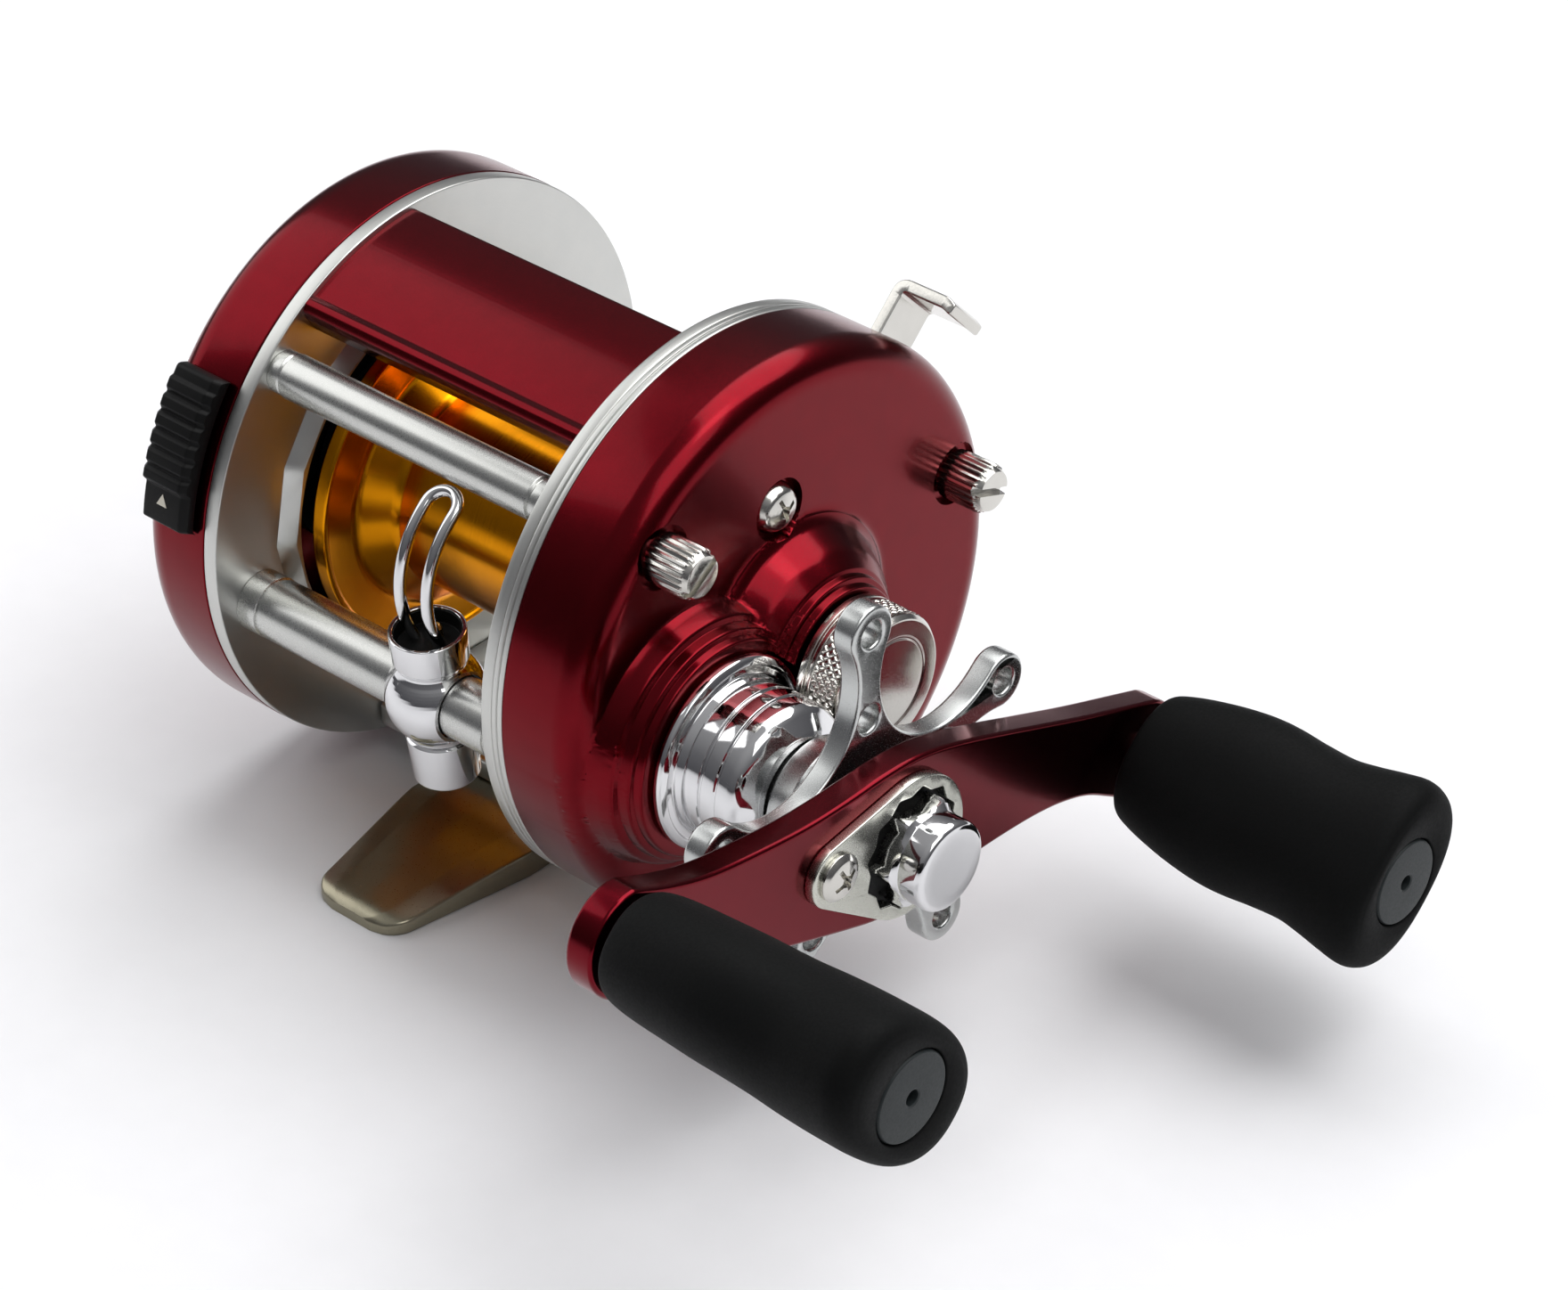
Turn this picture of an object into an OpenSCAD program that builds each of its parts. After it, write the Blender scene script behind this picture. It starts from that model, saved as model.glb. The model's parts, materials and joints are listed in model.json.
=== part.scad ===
// Round baitcasting reel, left-hand retrieve.
// +X runs along the spool axis toward the handle, -Y is the line side, +Z is up off the rod.
// The origin is the centre of the foot's underside.

/* [Frame] */
// Outer diameter of the side plates
plate_d = 53.5; // [52:0.5:56]
// Clear width between the two frame plates
inner_w = 32.2; // [30:0.2:36]
// Height of the spool axis above the foot's underside
spool_h = 28; // [28:0.5:30]
// Thickness of the palm-side frame plate
plate_t = 1.5; // [1.2:0.1:2]
// Diameter of the front and rear pillars
pillar_d = 4.2; // [3.6:0.2:5]
// Distance of the pillars from the spool axis
pillar_r = 24.3; // [24:0.1:24.6]
// Length of the foot along the rod
foot_len = 56; // [50:1:64]
// Width of the foot at its middle
foot_w = 15; // [13:0.5:17]

/* [Covers] */
// Depth of the palm-side cover
palm_depth = 7.9; // [7:0.1:9]
// Depth of the gear-side cover
gear_depth = 8.5; // [8.5:0.1:9]
// Wall thickness of both covers
cup_wall = 1.2; // [1:0.1:1.4]
// Radius of the covers' outer edge
cup_fillet = 2.8; // [2:0.1:3.2]

/* [Spool] */
// Diameter of the spool flanges
spool_d = 33.6; // [32:0.2:33.6]
// Overall width of the spool
spool_w = 29.2; // [27:0.2:30]
// Diameter of the spool's arbor
arbor_d = 20; // [16:0.5:22]

/* [Gears] */
// Tooth module of every gear
gear_m = 0.4; // [0.4:0.1:0.4]
// Teeth on the main drive gear
drive_teeth = 57; // [57:1:57]
// Teeth on the spool pinion
pinion_teeth = 11; // [11:1:11]
// Teeth on the level-wind drive gear
wind_teeth = 29; // [29:1:29]
// Teeth on the worm gear
worm_teeth = 14; // [14:1:14]
// Direction from the spool axis to the handle axis, in degrees
handle_dir = 191.5; // [190:0.5:193]

/* [Handle] */
// Distance between the two knob axes
arm_span = 65.5; // [60:0.5:72]
// Direction of the front end of the handle arm, in degrees
arm_dir = 166; // [0:1:359]
// Thickness of the handle arm
arm_t = 2.8; // [2.4:0.1:3]
// Length of a knob
knob_len = 27; // [24:0.5:30]
// Largest width of a knob
knob_w = 17; // [15:0.5:18]
// Thickness of a knob
knob_t = 12; // [10:0.5:13]

/* [Star drag] */
// Number of arms on the star wheel
star_arms = 5; // [5:1:5]
// Distance of the tip holes from the star's axis
star_r = 18.3; // [17:0.1:19]
// Radius of each rounded arm tip
star_tip_r = 2.5; // [2.2:0.1:2.8]

/* [Level wind] */
// Outer diameter of the level-wind tube
tube_d = 5.6; // [5.4:0.1:5.8]
// Where the carriage rests along the tube
carriage_x = 5.7; // [-8:0.1:6]

/* [Hidden] */

$fn = 64;
eps = 0.01;

// Every point in the side view is [y, z]; polar() gives one at a radius and a direction.
function polar(r, a) = [r * cos(a), r * sin(a)];
function arc(c, r, a0, a1, n) = [for (i = [0:n]) c + polar(r, a0 + (a1 - a0) * i / n)];
// Outline of a spur gear with straight-sided teeth, the first one on the local X axis.
function gear_outline(teeth) =
    let (rp = gear_m * teeth / 2, tip = rp + 0.75 * gear_m, root = rp - 0.95 * gear_m, step = 360 / teeth)
    [for (i = [0:teeth - 1], c = [[root, -0.25], [tip, -0.13], [tip, 0.13], [root, 0.25]])
        polar(c[0], (i + c[1]) * step)];

// Axes in the side view
spool_c = [0, spool_h];
drive_gap = gear_m * (drive_teeth + pinion_teeth) / 2;
handle_c = spool_c + polar(drive_gap, handle_dir);
wind_gap = gear_m * (wind_teeth + worm_teeth) / 2;
wind_dir = 190.8;
worm_c = handle_c + polar(wind_gap, wind_dir);
carriage_tilt = 6;
knob_cs = [for (a = [arm_dir, arm_dir + 180]) handle_c + polar(arm_span / 2, a)];

// Stations along the spool axis
x_in = inner_w / 2;
x_palm = -x_in - plate_t;
x_palm_end = x_palm - palm_depth;
ring_t = 1.2;
x_trim = x_in + ring_t;
x_gear = x_trim + ring_t;
x_face = x_gear + gear_depth;
plate_r = plate_d / 2;
cup_in = plate_r - cup_wall;
bay_r = 17.4;
set_r = 22.6;

// Gear train stations
x_wind = x_gear + 0.4;
wind_t = 1.4;
x_lever = x_wind + 1.7;
lever_t = 1.2;
x_drive = x_lever + 1.6;
drive_t = 1.8;
x_yoke = x_drive + 2.95;
yoke_t = 0.5;
yoke_lift = 1.6;
x_boss = x_face + 4;
x_neck = x_face + 5.7;
x_cap_end = x_face + 11;
x_arm = x_face + 21.1;

// Fits
run = 0.05;
shaft_r = 1.5;
tip_shaft_r = 1.2;
drive_r = 2.5;
worm_r = 1.9;
journal_r = 1.1;
bush_r = 2.1;
tube_r = tube_d / 2;
tube_bore = tube_r - 0.65;

// Screws through the gear-side cover: three knurled thumb screws and one flush screw
screw_r = 22.4;
screw_dirs = [135, 16.5, 255];
cover_screw_c = spool_c + polar(13.8, 96.6);

// The clutch lever's and brake slider's resting directions and travels
lever_dir = 44;
lever_travel = 14;
slider_dir = 157;
slider_travel = 9;
slider_half = 15;

// Puts children on an axis parallel to X, their local X axis pointing in direction a.
module on_axis(x, c, a = -90) {
    translate([x, c[0], c[1]])
        rotate([0, 90, 0])
            rotate(a + 90)
                children();
}

module rod(x0, x1, r, c = spool_c) {
    on_axis(x0, c)
        cylinder(h = x1 - x0, r = r);
}

module tube(x0, x1, ro, ri, c = spool_c) {
    difference() {
        rod(x0, x1, ro, c);
        rod(x0 - 1, x1 + 1, ri, c);
    }
}

// Solid of revolution about an axis parallel to X; the outline is a list of [radius, x].
module turned(outline, c = spool_c) {
    on_axis(0, c)
        rotate_extrude()
            polygon(outline);
}

// Sector of a ring between two directions.
module ring_sector(x0, x1, ro, ri, a0, a1) {
    on_axis(x0, spool_c, a0)
        rotate_extrude(angle = a1 - a0)
            translate([ri, 0])
                square([ro - ri, x1 - x0]);
}

module gear(teeth, x, t, c, a) {
    on_axis(x, c, a)
        linear_extrude(t)
            polygon(gear_outline(teeth));
}

module screw_holes(r) {
    for (a = screw_dirs)
        rod(x_in - 1, x_face + 8, r, spool_c + polar(screw_r, a));
}

// ---- Frame ----

module frame_plate_gear() {
    color("silver")
        difference() {
            rod(x_in, x_trim, plate_r);
            rod(x_in - 1, x_trim + 1, bay_r);
            rod(x_in - 1, x_trim + 1, bush_r, worm_c);
            screw_holes(1.2);
        }
}

module frame_plate_palm() {
    facets = 16;
    color("silver")
        difference() {
            union() {
                rod(x_palm, -x_in, plate_r);
                on_axis(-x_in, spool_c)
                    cylinder(h = 1.1, r = 19.4, $fn = facets);
            }
            rod(x_palm - 1, 0, bay_r);
            rod(x_palm - 1, 0, bush_r, worm_c);
        }
}

module thumb_hood() {
    hood_r = 26.2;
    hood_t = 2.2;
    a0 = 92;
    a1 = 124;
    color("firebrick")
        on_axis(-x_in, spool_c, 0)
            linear_extrude(inner_w)
                polygon(concat(
                    arc([0, 0], hood_r, a0, a1, 16),
                    arc(polar(hood_r - hood_t / 2, a1), hood_t / 2, a1 + 20, a1 + 160, 7),
                    arc([0, 0], hood_r - hood_t, a1, a0, 16)));
}

module pillar(a) {
    c = spool_c + polar(pillar_r, a);
    color("silver") {
        rod(-x_in, x_in, pillar_d / 2, c);
    }
}

module front_pillar() {
    pillar(135.5);
}

module rear_pillar() {
    pillar(-3);
}

foot_t = 3.4;
bridge_t = 2.2;
rivet_y = 5;
rivet_x = 4.5;

module foot_bridge() {
    bridge_w = 17;
    color("silver")
        difference() {
            translate([-x_in, -bridge_w / 2, foot_t])
                cube([inner_w, bridge_w, bridge_t]);
            rivets(1.2);
        }
}

module rivets(r) {
    for (sx = [-1, 1], sy = [-1, 1])
        translate([sx * rivet_x, sy * rivet_y, 0.2])
            cylinder(h = foot_t + bridge_t, r = r);
}

module reel_foot() {
    tip_w = 10;
    tip_t = 1.6;
    half = foot_len / 2;
    flat = 13;
    color("darkkhaki")
        difference() {
            intersection() {
                translate([-foot_w, 0, 0])
                    rotate([90, 0, 90])
                        linear_extrude(2 * foot_w)
                            polygon([
                                [-half, 0], [half, 0], [half, tip_t],
                                [flat, foot_t], [-flat, foot_t], [-half, tip_t]
                            ]);
                linear_extrude(foot_t + 1)
                    foot_plan(half, tip_w / 2, foot_w / 2, flat);
            }
            rivets(1.2);
        }
}

// Plan of the foot: a bar that narrows to two round-cornered tips.
module foot_plan(half, tip, mid, flat) {
    r = 2;
    front = concat(
        arc([tip - r, half - r], r, 0, 90, 6),
        arc([r - tip, half - r], r, 90, 180, 6));
    rear = [for (p = front) -p];
    polygon(concat([[mid, flat]], front, [[-mid, flat], [-mid, -flat]], rear, [[mid, -flat]]));
}

module foot_rivets() {
    color("gray")
        rivets(1.2);
}

module trim_ring() {
    color("silver")
        difference() {
            rod(x_trim, x_gear, plate_r);
            rod(x_trim - 1, x_gear + 1, set_r);
            rod(x_trim - 1, x_gear + 1, bush_r, worm_c);
            screw_holes(1.25);
        }
}

// ---- Palm side ----

// Outline of a cover's shell from its open end x0 to its closed end x1, as [radius, x].
function cup_outline(x0, x1, wall) =
    let (
        s = x1 > x0 ? 1 : -1,
        rc = plate_r - cup_fillet,
        xc = x1 - s * cup_fillet,
        fi = cup_fillet - wall,
        steps = [for (i = [0:7]) 90 * i / 7]
    )
    concat(
        [[0, x1]],
        [for (a = steps) [rc + cup_fillet * sin(a), xc + s * cup_fillet * cos(a)]],
        [[plate_r, x0], [plate_r - wall, x0]],
        [for (a = steps) [rc + fi * cos(a), xc + s * fi * sin(a)]],
        [[0, x1 - s * wall]]);

module palm_cup() {
    slot_half = slider_travel + 4;
    color("firebrick")
        difference() {
            turned(cup_outline(x_palm, x_palm_end, cup_wall));
            ring_sector(-22.8, -20, plate_r + 1, cup_in - 2, slider_dir - slot_half, slider_dir + slot_half);
        }
}

palm_bearing_x = -23.2;
bearing_w = 2.5;
bearing_r = 4;

module palm_bearing_holder() {
    wall = 1.2;
    color("dimgray")
        turned([
            [bearing_r, palm_bearing_x], [bearing_r, palm_bearing_x + bearing_w],
            [bearing_r + wall, palm_bearing_x + bearing_w], [bearing_r + wall, palm_bearing_x],
            [11, palm_bearing_x], [11, x_palm_end + cup_wall], [0, x_palm_end + cup_wall],
            [0, x_palm_end + cup_wall + 0.5], [2.4, x_palm_end + cup_wall + 0.5], [2.4, palm_bearing_x]
        ]);
}

module ball_bearing(x, w, ro, ri, c = spool_c) {
    tube(x, x + w, ro, ri, c);
}

module palm_bearing() {
    color("lightgray")
        ball_bearing(palm_bearing_x, bearing_w, bearing_r, shaft_r + run);
}

// ---- Gear side ----

module gear_cup() {
    color("firebrick")
        difference() {
            union() {
                turned(cup_outline(x_gear, x_face, cup_wall));
                hull() {
                    on_axis(x_face - cup_wall + eps, spool_c)
                        cylinder(h = 3.6, r1 = 11, r2 = 8.6, $fn = 48);
                    on_axis(x_face - cup_wall + eps, handle_c)
                        cylinder(h = 3.6, r1 = 12, r2 = 10.4, $fn = 48);
                }
                rod(x_face, x_boss, 10.2, handle_c);
                rod(x_face, x_neck, 7);
                rod(x_neck, x_neck + 3, 5.15);
            }
            hull() {
                on_axis(x_face - 2, spool_c)
                    cylinder(h = 3.4, r1 = 9.8, r2 = 7.4, $fn = 48);
                on_axis(x_face - 2, handle_c)
                    cylinder(h = 3.4, r1 = 10.4, r2 = 9.2, $fn = 48);
            }
            rod(x_face, x_neck + 4, bearing_r);
            rod(x_face, x_boss + 1, 6, handle_c);
            rod(x_boss, x_boss + 3, bead_r + 0.2, handle_c);
            screw_holes(1.3);
            for (a = screw_dirs)
                rod(x_face - 0.8, x_face + 4, 3, spool_c + polar(screw_r, a));
            rod(x_face - 3, x_face + 4, 1.1, cover_screw_c);
            rod(x_face - 0.9, x_face + 5, 2.9, cover_screw_c);
            ring_sector(x_lever - 0.3, x_lever + lever_t + 0.3, plate_r + 1, cup_in - 1,
                lever_dir - lever_travel - 8, lever_dir + 8);
        }
}

module gear_set_plate() {
    boss_r = 3.5;
    color("darkgray")
        difference() {
            union() {
                rod(x_trim, x_gear - 0.2, set_r - 2 * run);
                rod(x_gear - 0.3, x_lever + lever_t, boss_r);
            }
            rod(x_trim - 1, x_lever + 3, 2.95);
            rod(x_trim - 1, x_gear + 1, shaft_r + run, handle_c);
            rod(x_trim - 1, x_gear + 1, bush_r, worm_c);
            screw_holes(1.25);
            rod(x_trim - 1, x_gear + 1, 1, cover_screw_c);
            yoke_pins(x_trim - 1, x_gear + 1, 0.6);
        }
}

module thumb_screws() {
    ridges = 20;
    head = 4.4;
    color("silver")
        for (a = screw_dirs) {
            c = spool_c + polar(screw_r, a);
            difference() {
                union() {
                    rod(x_in + 0.2, x_face, 1.2, c);
                    rod(x_face - 0.8, x_face + head, 2, c);
                    for (i = [0:ridges - 1])
                        rod(x_face, x_face + head - 0.5, 0.22, c + polar(2, i * 360 / ridges));
                }
                on_axis(x_face + head - 0.9, c, a)
                    translate([-3, -0.35, 0])
                        cube([6, 0.7, 2]);
            }
        }
}

module cover_screw() {
    color("silver")
        difference() {
            union() {
                rod(x_trim + 0.1, x_face - 0.8, 1, cover_screw_c);
                turned([
                    [0, x_face - 0.9], [2.4, x_face - 0.9], [2.4, x_face - 0.3],
                    [1.5, x_face + 0.6], [0, x_face + 0.8]
                ], cover_screw_c);
            }
            for (a = [0, 90])
                on_axis(x_face - 0.1, cover_screw_c, a + 20)
                    translate([-1.2, -0.22, 0])
                        cube([2.4, 0.44, 2]);
        }
}

post_dirs = [90, -67];
post_gap = 6.3;

module yoke_pins(x0, x1, r) {
    for (a = post_dirs)
        rod(x0, x1, r, spool_c + polar(post_gap, a));
}

module yoke_posts() {
    color("silver")
        yoke_pins(x_trim + 0.1, x_face + 1.3, 0.6);
}

module cap_bearing() {
    color("lightgray")
        ball_bearing(x_boss + 0.6, bearing_w, bearing_r, tip_shaft_r + run);
}

module one_way_bearing() {
    color("lightgray")
        tube(x_face + 1.5, x_boss, 6, 3.7, handle_c);
}

bead_r = 8.9;

// Chrome housing over the drive shaft: a beaded flange, a grooved drum and a domed end.
module shaft_housing() {
    drum_r = 6.7;
    bore_r = 4.7;
    x0 = x_boss;
    color("gainsboro")
        turned(concat(
            [[bore_r, x0], [bead_r - 0.6, x0]],
            arc([bead_r - 0.7, x0 + 0.9], 0.7, -60, 90, 6),
            [[drum_r, x0 + 1.7], [drum_r, x0 + 4], [drum_r - 0.3, x0 + 4.1],
             [drum_r - 0.3, x0 + 4.4], [drum_r, x0 + 4.5], [drum_r, x0 + 6.6]],
            arc([drum_r - 2, x0 + 6.9], 2, 0, 80, 6),
            [[bore_r, x0 + 8.9]]), handle_c);
}

// ---- Level wind ----

module levelwind_tube() {
    color("silver")
        difference() {
            rod(-x_in, x_in, tube_r, worm_c);
            rod(-x_in - 1, x_in + 1, tube_bore, worm_c);
            translate([0, worm_c[0], worm_c[1]])
                rotate([carriage_tilt, 0, 0])
                    translate([-13.6, -0.9, -4])
                        cube([27.2, 1.8, 4]);
        }
}

module worm_bushes() {
    color("peru") {
        tube(x_palm + 0.1, -x_in + 0.8, bush_r, journal_r + run, worm_c);
        tube(x_in - 0.8, x_gear - 0.1, bush_r, journal_r + run, worm_c);
    }
}

module worm_shaft() {
    half = x_in - 1;
    grooves = 9;
    pitch = 2.7;
    color("lightgray")
        difference() {
            union() {
                rod(-half, half, worm_r, worm_c);
                rod(x_palm + 0.2, x_wind + wind_t, journal_r, worm_c);
            }
            for (i = [0:grooves - 1], tilt = [-20, 20])
                translate([(i - (grooves - 1) / 2) * pitch, worm_c[0], worm_c[1]])
                    rotate([0, 90 + tilt, 0])
                        rotate_extrude($fn = 32)
                            translate([worm_r + 0.1, 0])
                                circle(r = 0.42, $fn = 16);
        }
}

module worm_gear() {
    color("ivory")
        difference() {
            gear(worm_teeth, x_wind, wind_t, worm_c, wind_dir + 180 + 180 / worm_teeth);
            rod(x_wind - 1, x_wind + 3, journal_r, worm_c);
        }
}

// Places children on the carriage: origin on the tube's axis, Z up and leaning to the front.
module at_carriage() {
    translate([carriage_x, worm_c[0], worm_c[1]])
        rotate([carriage_tilt, 0, 0])
            children();
}

barrel_r = 3.4;
stem_r = 2.65;

module carriage() {
    ball_r = 4.5;
    collar_r = 3.1;
    color("gainsboro")
        difference() {
            at_carriage()
                union() {
                    sphere(r = ball_r);
                    translate([0, 0, 2])
                        cylinder(h = 5.1, r = barrel_r);
                    translate([0, 0, -3.7])
                        cylinder(h = 2, r = collar_r);
                    translate([0, 0, -6.6])
                        cylinder(h = 4.6, r = stem_r);
                }
            rod(carriage_x - 6, carriage_x + 6, tube_r + 0.07, worm_c);
            at_carriage() {
                translate([0, 0, -7])
                    cylinder(h = 6, r = 1.6);
                translate([0, 0, 5.4])
                    cylinder(h = 2, r = barrel_r - 0.45);
            }
        }
}

module pawl() {
    color("goldenrod")
        at_carriage() {
            translate([0, 0, -6.5])
                cylinder(h = 3.3, r = 1.5);
            translate([-1.1, -0.4, -3.4])
                cube([2.2, 0.8, 1.2]);
        }
}

module pawl_cap() {
    color("gainsboro")
        at_carriage()
            difference() {
                translate([0, 0, -8.7])
                    cylinder(h = 4.9, r1 = 3, r2 = 3.2);
                translate([0, 0, -6.6])
                    cylinder(h = 4, r = stem_r);
            }
}

module line_guide() {
    wire_r = 0.55;
    half = 1.6;
    bow_r = 9.1;
    bow_y = 8.05;
    bow_z = 10.07;
    a_top = 121;
    a_foot = 200;
    leg = 2.2;
    top = [bow_y + bow_r * cos(a_top), bow_z + bow_r * sin(a_top)];
    foot = [bow_y + bow_r * cos(a_foot), bow_z + bow_r * sin(a_foot)];
    color("gainsboro")
        at_carriage() {
            for (s = [-1, 1], p = [top, foot])
                translate([s * half, p[0], p[1]])
                    sphere(r = wire_r + 0.04, $fn = 24);
            for (s = [-1, 1]) {
                translate([s * half, bow_y, bow_z])
                    rotate([90, 0, 90])
                        rotate(a_top)
                            rotate_extrude(angle = a_foot - a_top, $fn = 96)
                                translate([bow_r, 0])
                                    circle(r = wire_r, $fn = 20);
                translate([s * half, foot[0], foot[1]])
                    rotate([a_foot - 180, 0, 0])
                        translate([0, 0, -leg])
                            cylinder(h = leg, r = wire_r);
            }
            translate([0, top[0], top[1]])
                rotate([a_top - 90, 0, 0])
                    rotate_extrude(angle = 180, $fn = 48)
                        translate([half, 0])
                            circle(r = wire_r, $fn = 20);
        }
}

// ---- Spool ----

module spool() {
    half = spool_w / 2;
    rf = spool_d / 2;
    ra = arbor_d / 2;
    flange = 1.3;
    hollow = ra - 1.4;
    blend = 3;
    right = concat(
        [for (i = [0:6]) [ra + blend * (1 - cos(90 * i / 6)), half - flange - blend * (1 - sin(90 * i / 6))]],
        [[rf, half - flange], [rf, half]]);
    left = [for (i = [len(right) - 1:-1:0]) [right[i][0], -right[i][1]]];
    color("goldenrod")
        difference() {
            turned(concat([[shaft_r, half], [shaft_r, -half]], left, right));
            difference() {
                rod(-half - 1, -half + 5, hollow);
                rod(-half - 1, -half + 5, 4.4);
            }
            difference() {
                rod(half - 5, half + 1, hollow);
                rod(half - 5, half + 1, 4.4);
            }
        }
}

module spool_shaft() {
    color("silver") {
        rod(palm_bearing_x - 0.4, 17, shaft_r);
        rod(17 - eps, x_cap_end - 2.4, tip_shaft_r);
    }
}

pin_x = x_gear + 1.1;

module clutch_pin() {
    color("silver")
        difference() {
            translate([pin_x, 0, spool_h])
                rotate([90, 0, 0])
                    cylinder(h = 4.6, r = 0.4, center = true);
            rod(pin_x - 2, pin_x + 2, tip_shaft_r);
        }
}

module brake_inductor() {
    x0 = -spool_w / 2 - 1.9;
    color("silver")
        difference() {
            union() {
                rod(x0, x0 + 0.6, 11);
                rod(x0, -spool_w / 2, 4.4);
            }
            rod(x0 - 1, -spool_w / 2 + 1, shaft_r);
        }
}

// ---- Clutch ----

module pinion() {
    x0 = x_gear + 0.4;
    x1 = x0 + 1.5;
    groove = x_yoke - 0.1;
    color("goldenrod")
        difference() {
            union() {
                rod(x0, x1, 2.7);
                gear(pinion_teeth, x1 - eps, groove - x1 + eps, spool_c, handle_dir + 180 / pinion_teeth);
                rod(groove - eps, groove + yoke_t + 0.2, 1.8);
                rod(groove + yoke_t + 0.2, groove + yoke_t + 0.8, 2.8);
            }
            rod(x0 - 1, x_face + 6, tip_shaft_r + run);
            translate([x0 - 1, -4, spool_h - 0.65])
                cube([2.2, 8, 1.3]);
        }
}

module clutch_yoke() {
    color("silver")
        difference() {
            union() {
                rod(x_yoke, x_yoke + yoke_t, 4);
                for (a = post_dirs) {
                    rod(x_yoke, x_yoke + yoke_t, 1.5, spool_c + polar(post_gap, a));
                    on_axis(x_yoke, spool_c, a)
                        translate([0, -1.4, 0])
                            cube([post_gap, 2.8, yoke_t]);
                }
            }
            rod(x_yoke - 1, x_yoke + 2, 2.1);
            yoke_pins(x_yoke - 1, x_yoke + 2, 0.65);
        }
}

// Return springs, drawn at the length they have when the yoke is lifted.
module yoke_springs() {
    coils = 3;
    wire_r = 0.14;
    color("silver")
        for (a = post_dirs, i = [0:coils - 1])
            on_axis(x_yoke + yoke_t + yoke_lift + 0.25 + 2.2 * i * wire_r, spool_c + polar(post_gap, a))
                rotate_extrude($fn = 32)
                    translate([0.6 + wire_r, 0])
                        circle(r = wire_r, $fn = 16);
}

module clutch_lever() {
    ring_ro = 5.3;
    strip = 5.4;
    reach = 32;
    pad_t = 1.2;
    pad_len = 6.6;
    color("silver")
        difference() {
            union() {
                rod(x_lever, x_lever + lever_t, ring_ro);
                on_axis(x_lever, spool_c, lever_dir)
                    translate([0, -strip / 2, 0])
                        cube([reach, strip, lever_t]);
                on_axis(x_lever, spool_c, lever_dir)
                    translate([reach - pad_t, -strip / 2, 0])
                        cube([pad_t, strip, pad_len]);
                for (a = [98, -75])
                    ring_sector(x_lever, x_lever + lever_t + 1.2, 5.2, 4, a, a + 25);
            }
            rod(x_lever - 1, x_lever + 4, 3.56);
        }
}

// ---- Cast brake ----

module brake_ring() {
    color("dimgray") {
        tube(-22.4, -20.4, cup_in - 0.35, cup_in - 1.9);
        ring_sector(-22.2, -20.6, plate_r + 0.5, cup_in - 1, slider_dir - 3, slider_dir + 3);
    }
}

module brake_slider() {
    ribs = 6;
    x0 = -24;
    x1 = -18.4;
    base_r = plate_r + 0.35;
    a0 = slider_dir - slider_half;
    a1 = slider_dir + slider_half;
    color("black")
        difference() {
            union() {
                ring_sector(x0, x1, base_r + 1.6, base_r, a0, a1);
                ring_sector(x0 + 0.5, x1 - 0.5, base_r + 2.3, base_r, a0 + 1.5, a1 - 8);
                for (a = [a0 + 2:3.2:a0 + 2 + 3.2 * (ribs - 1)])
                    ring_sector(x0 + 0.6, x1 - 0.6, base_r + 2.8, base_r, a, a + 1.6);
            }
            ring_sector(-22.2, -20.6, plate_r + 0.5, cup_in - 1, slider_dir - 3, slider_dir + 3);
        }
}

magnet_count = 6;
magnet_ring_r = 8.4;
carrier_x = -19.9;

module magnet_carrier() {
    color("dimgray")
        difference() {
            rod(carrier_x, carrier_x + 1, 10.8);
            rod(carrier_x - 1, carrier_x + 2, 5.6);
            magnet_pockets();
        }
}

module magnet_pockets() {
    for (i = [0:magnet_count - 1])
        rod(carrier_x, carrier_x + 1.4, 1.5, spool_c + polar(magnet_ring_r, i * 360 / magnet_count));
}

module brake_magnets() {
    color("silver")
        magnet_pockets();
}

// ---- Cast control ----

module cast_control_cap() {
    cap_r = 6.5;
    x0 = x_neck + 0.3;
    bore = 5.25;
    ridges = 60;
    color("silver")
        difference() {
            union() {
                turned([
                    [0, x0], [cap_r - 0.1, x0], [cap_r, x0 + 0.3], [cap_r, x0 + 0.8], [cap_r - 0.3, x0 + 1],
                    [cap_r - 0.3, x_cap_end - 0.9], [cap_r - 0.9, x_cap_end], [0, x_cap_end]
                ]);
                for (i = [0:ridges - 1])
                    rod(x0 + 1, x_cap_end - 0.9, 0.22, spool_c + polar(cap_r - 0.28, i * 360 / ridges));
            }
            rod(x0 - 1, x_cap_end - 1.4, bore);
            tube(x_cap_end - 0.25, x_cap_end + 1, 4.6, 4.2);
        }
}

module cap_shims() {
    color("peru")
        rod(x_cap_end - 2.2, x_cap_end - 1.4, 3);
}

// ---- Crank ----

x_plate = x_arm + arm_t;
retainer_t = 1;
x_nut = x_plate + retainer_t;

module drive_shaft() {
    color("silver") {
        rod(x_trim + 0.1, x_gear + 0.1, shaft_r, handle_c);
        rod(x_gear + 0.1, x_nut + 2, drive_r, handle_c);
    }
}

module main_gear() {
    color("goldenrod")
        difference() {
            gear(drive_teeth, x_drive, drive_t, handle_c, handle_dir + 180);
            rod(x_drive - 1, x_drive + 4, drive_r, handle_c);
            for (i = [0:5])
                rod(x_drive - 1, x_drive + 4, 1.6, handle_c + polar(7, i * 60));
        }
}

module levelwind_drive_gear() {
    color("ivory")
        difference() {
            gear(wind_teeth, x_wind, wind_t, handle_c, wind_dir);
            rod(x_wind - 1, x_wind + 3, drive_r, handle_c);
        }
}

module drag_washers() {
    washers = 4;
    t = 0.7;
    x0 = x_drive + drive_t;
    color("saddlebrown")
        for (i = [0:washers - 1])
            tube(x0 + i * (t + 0.05), x0 + i * (t + 0.05) + t, i % 2 == 0 ? 8 : 7.6, drive_r, handle_c);
}

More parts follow.
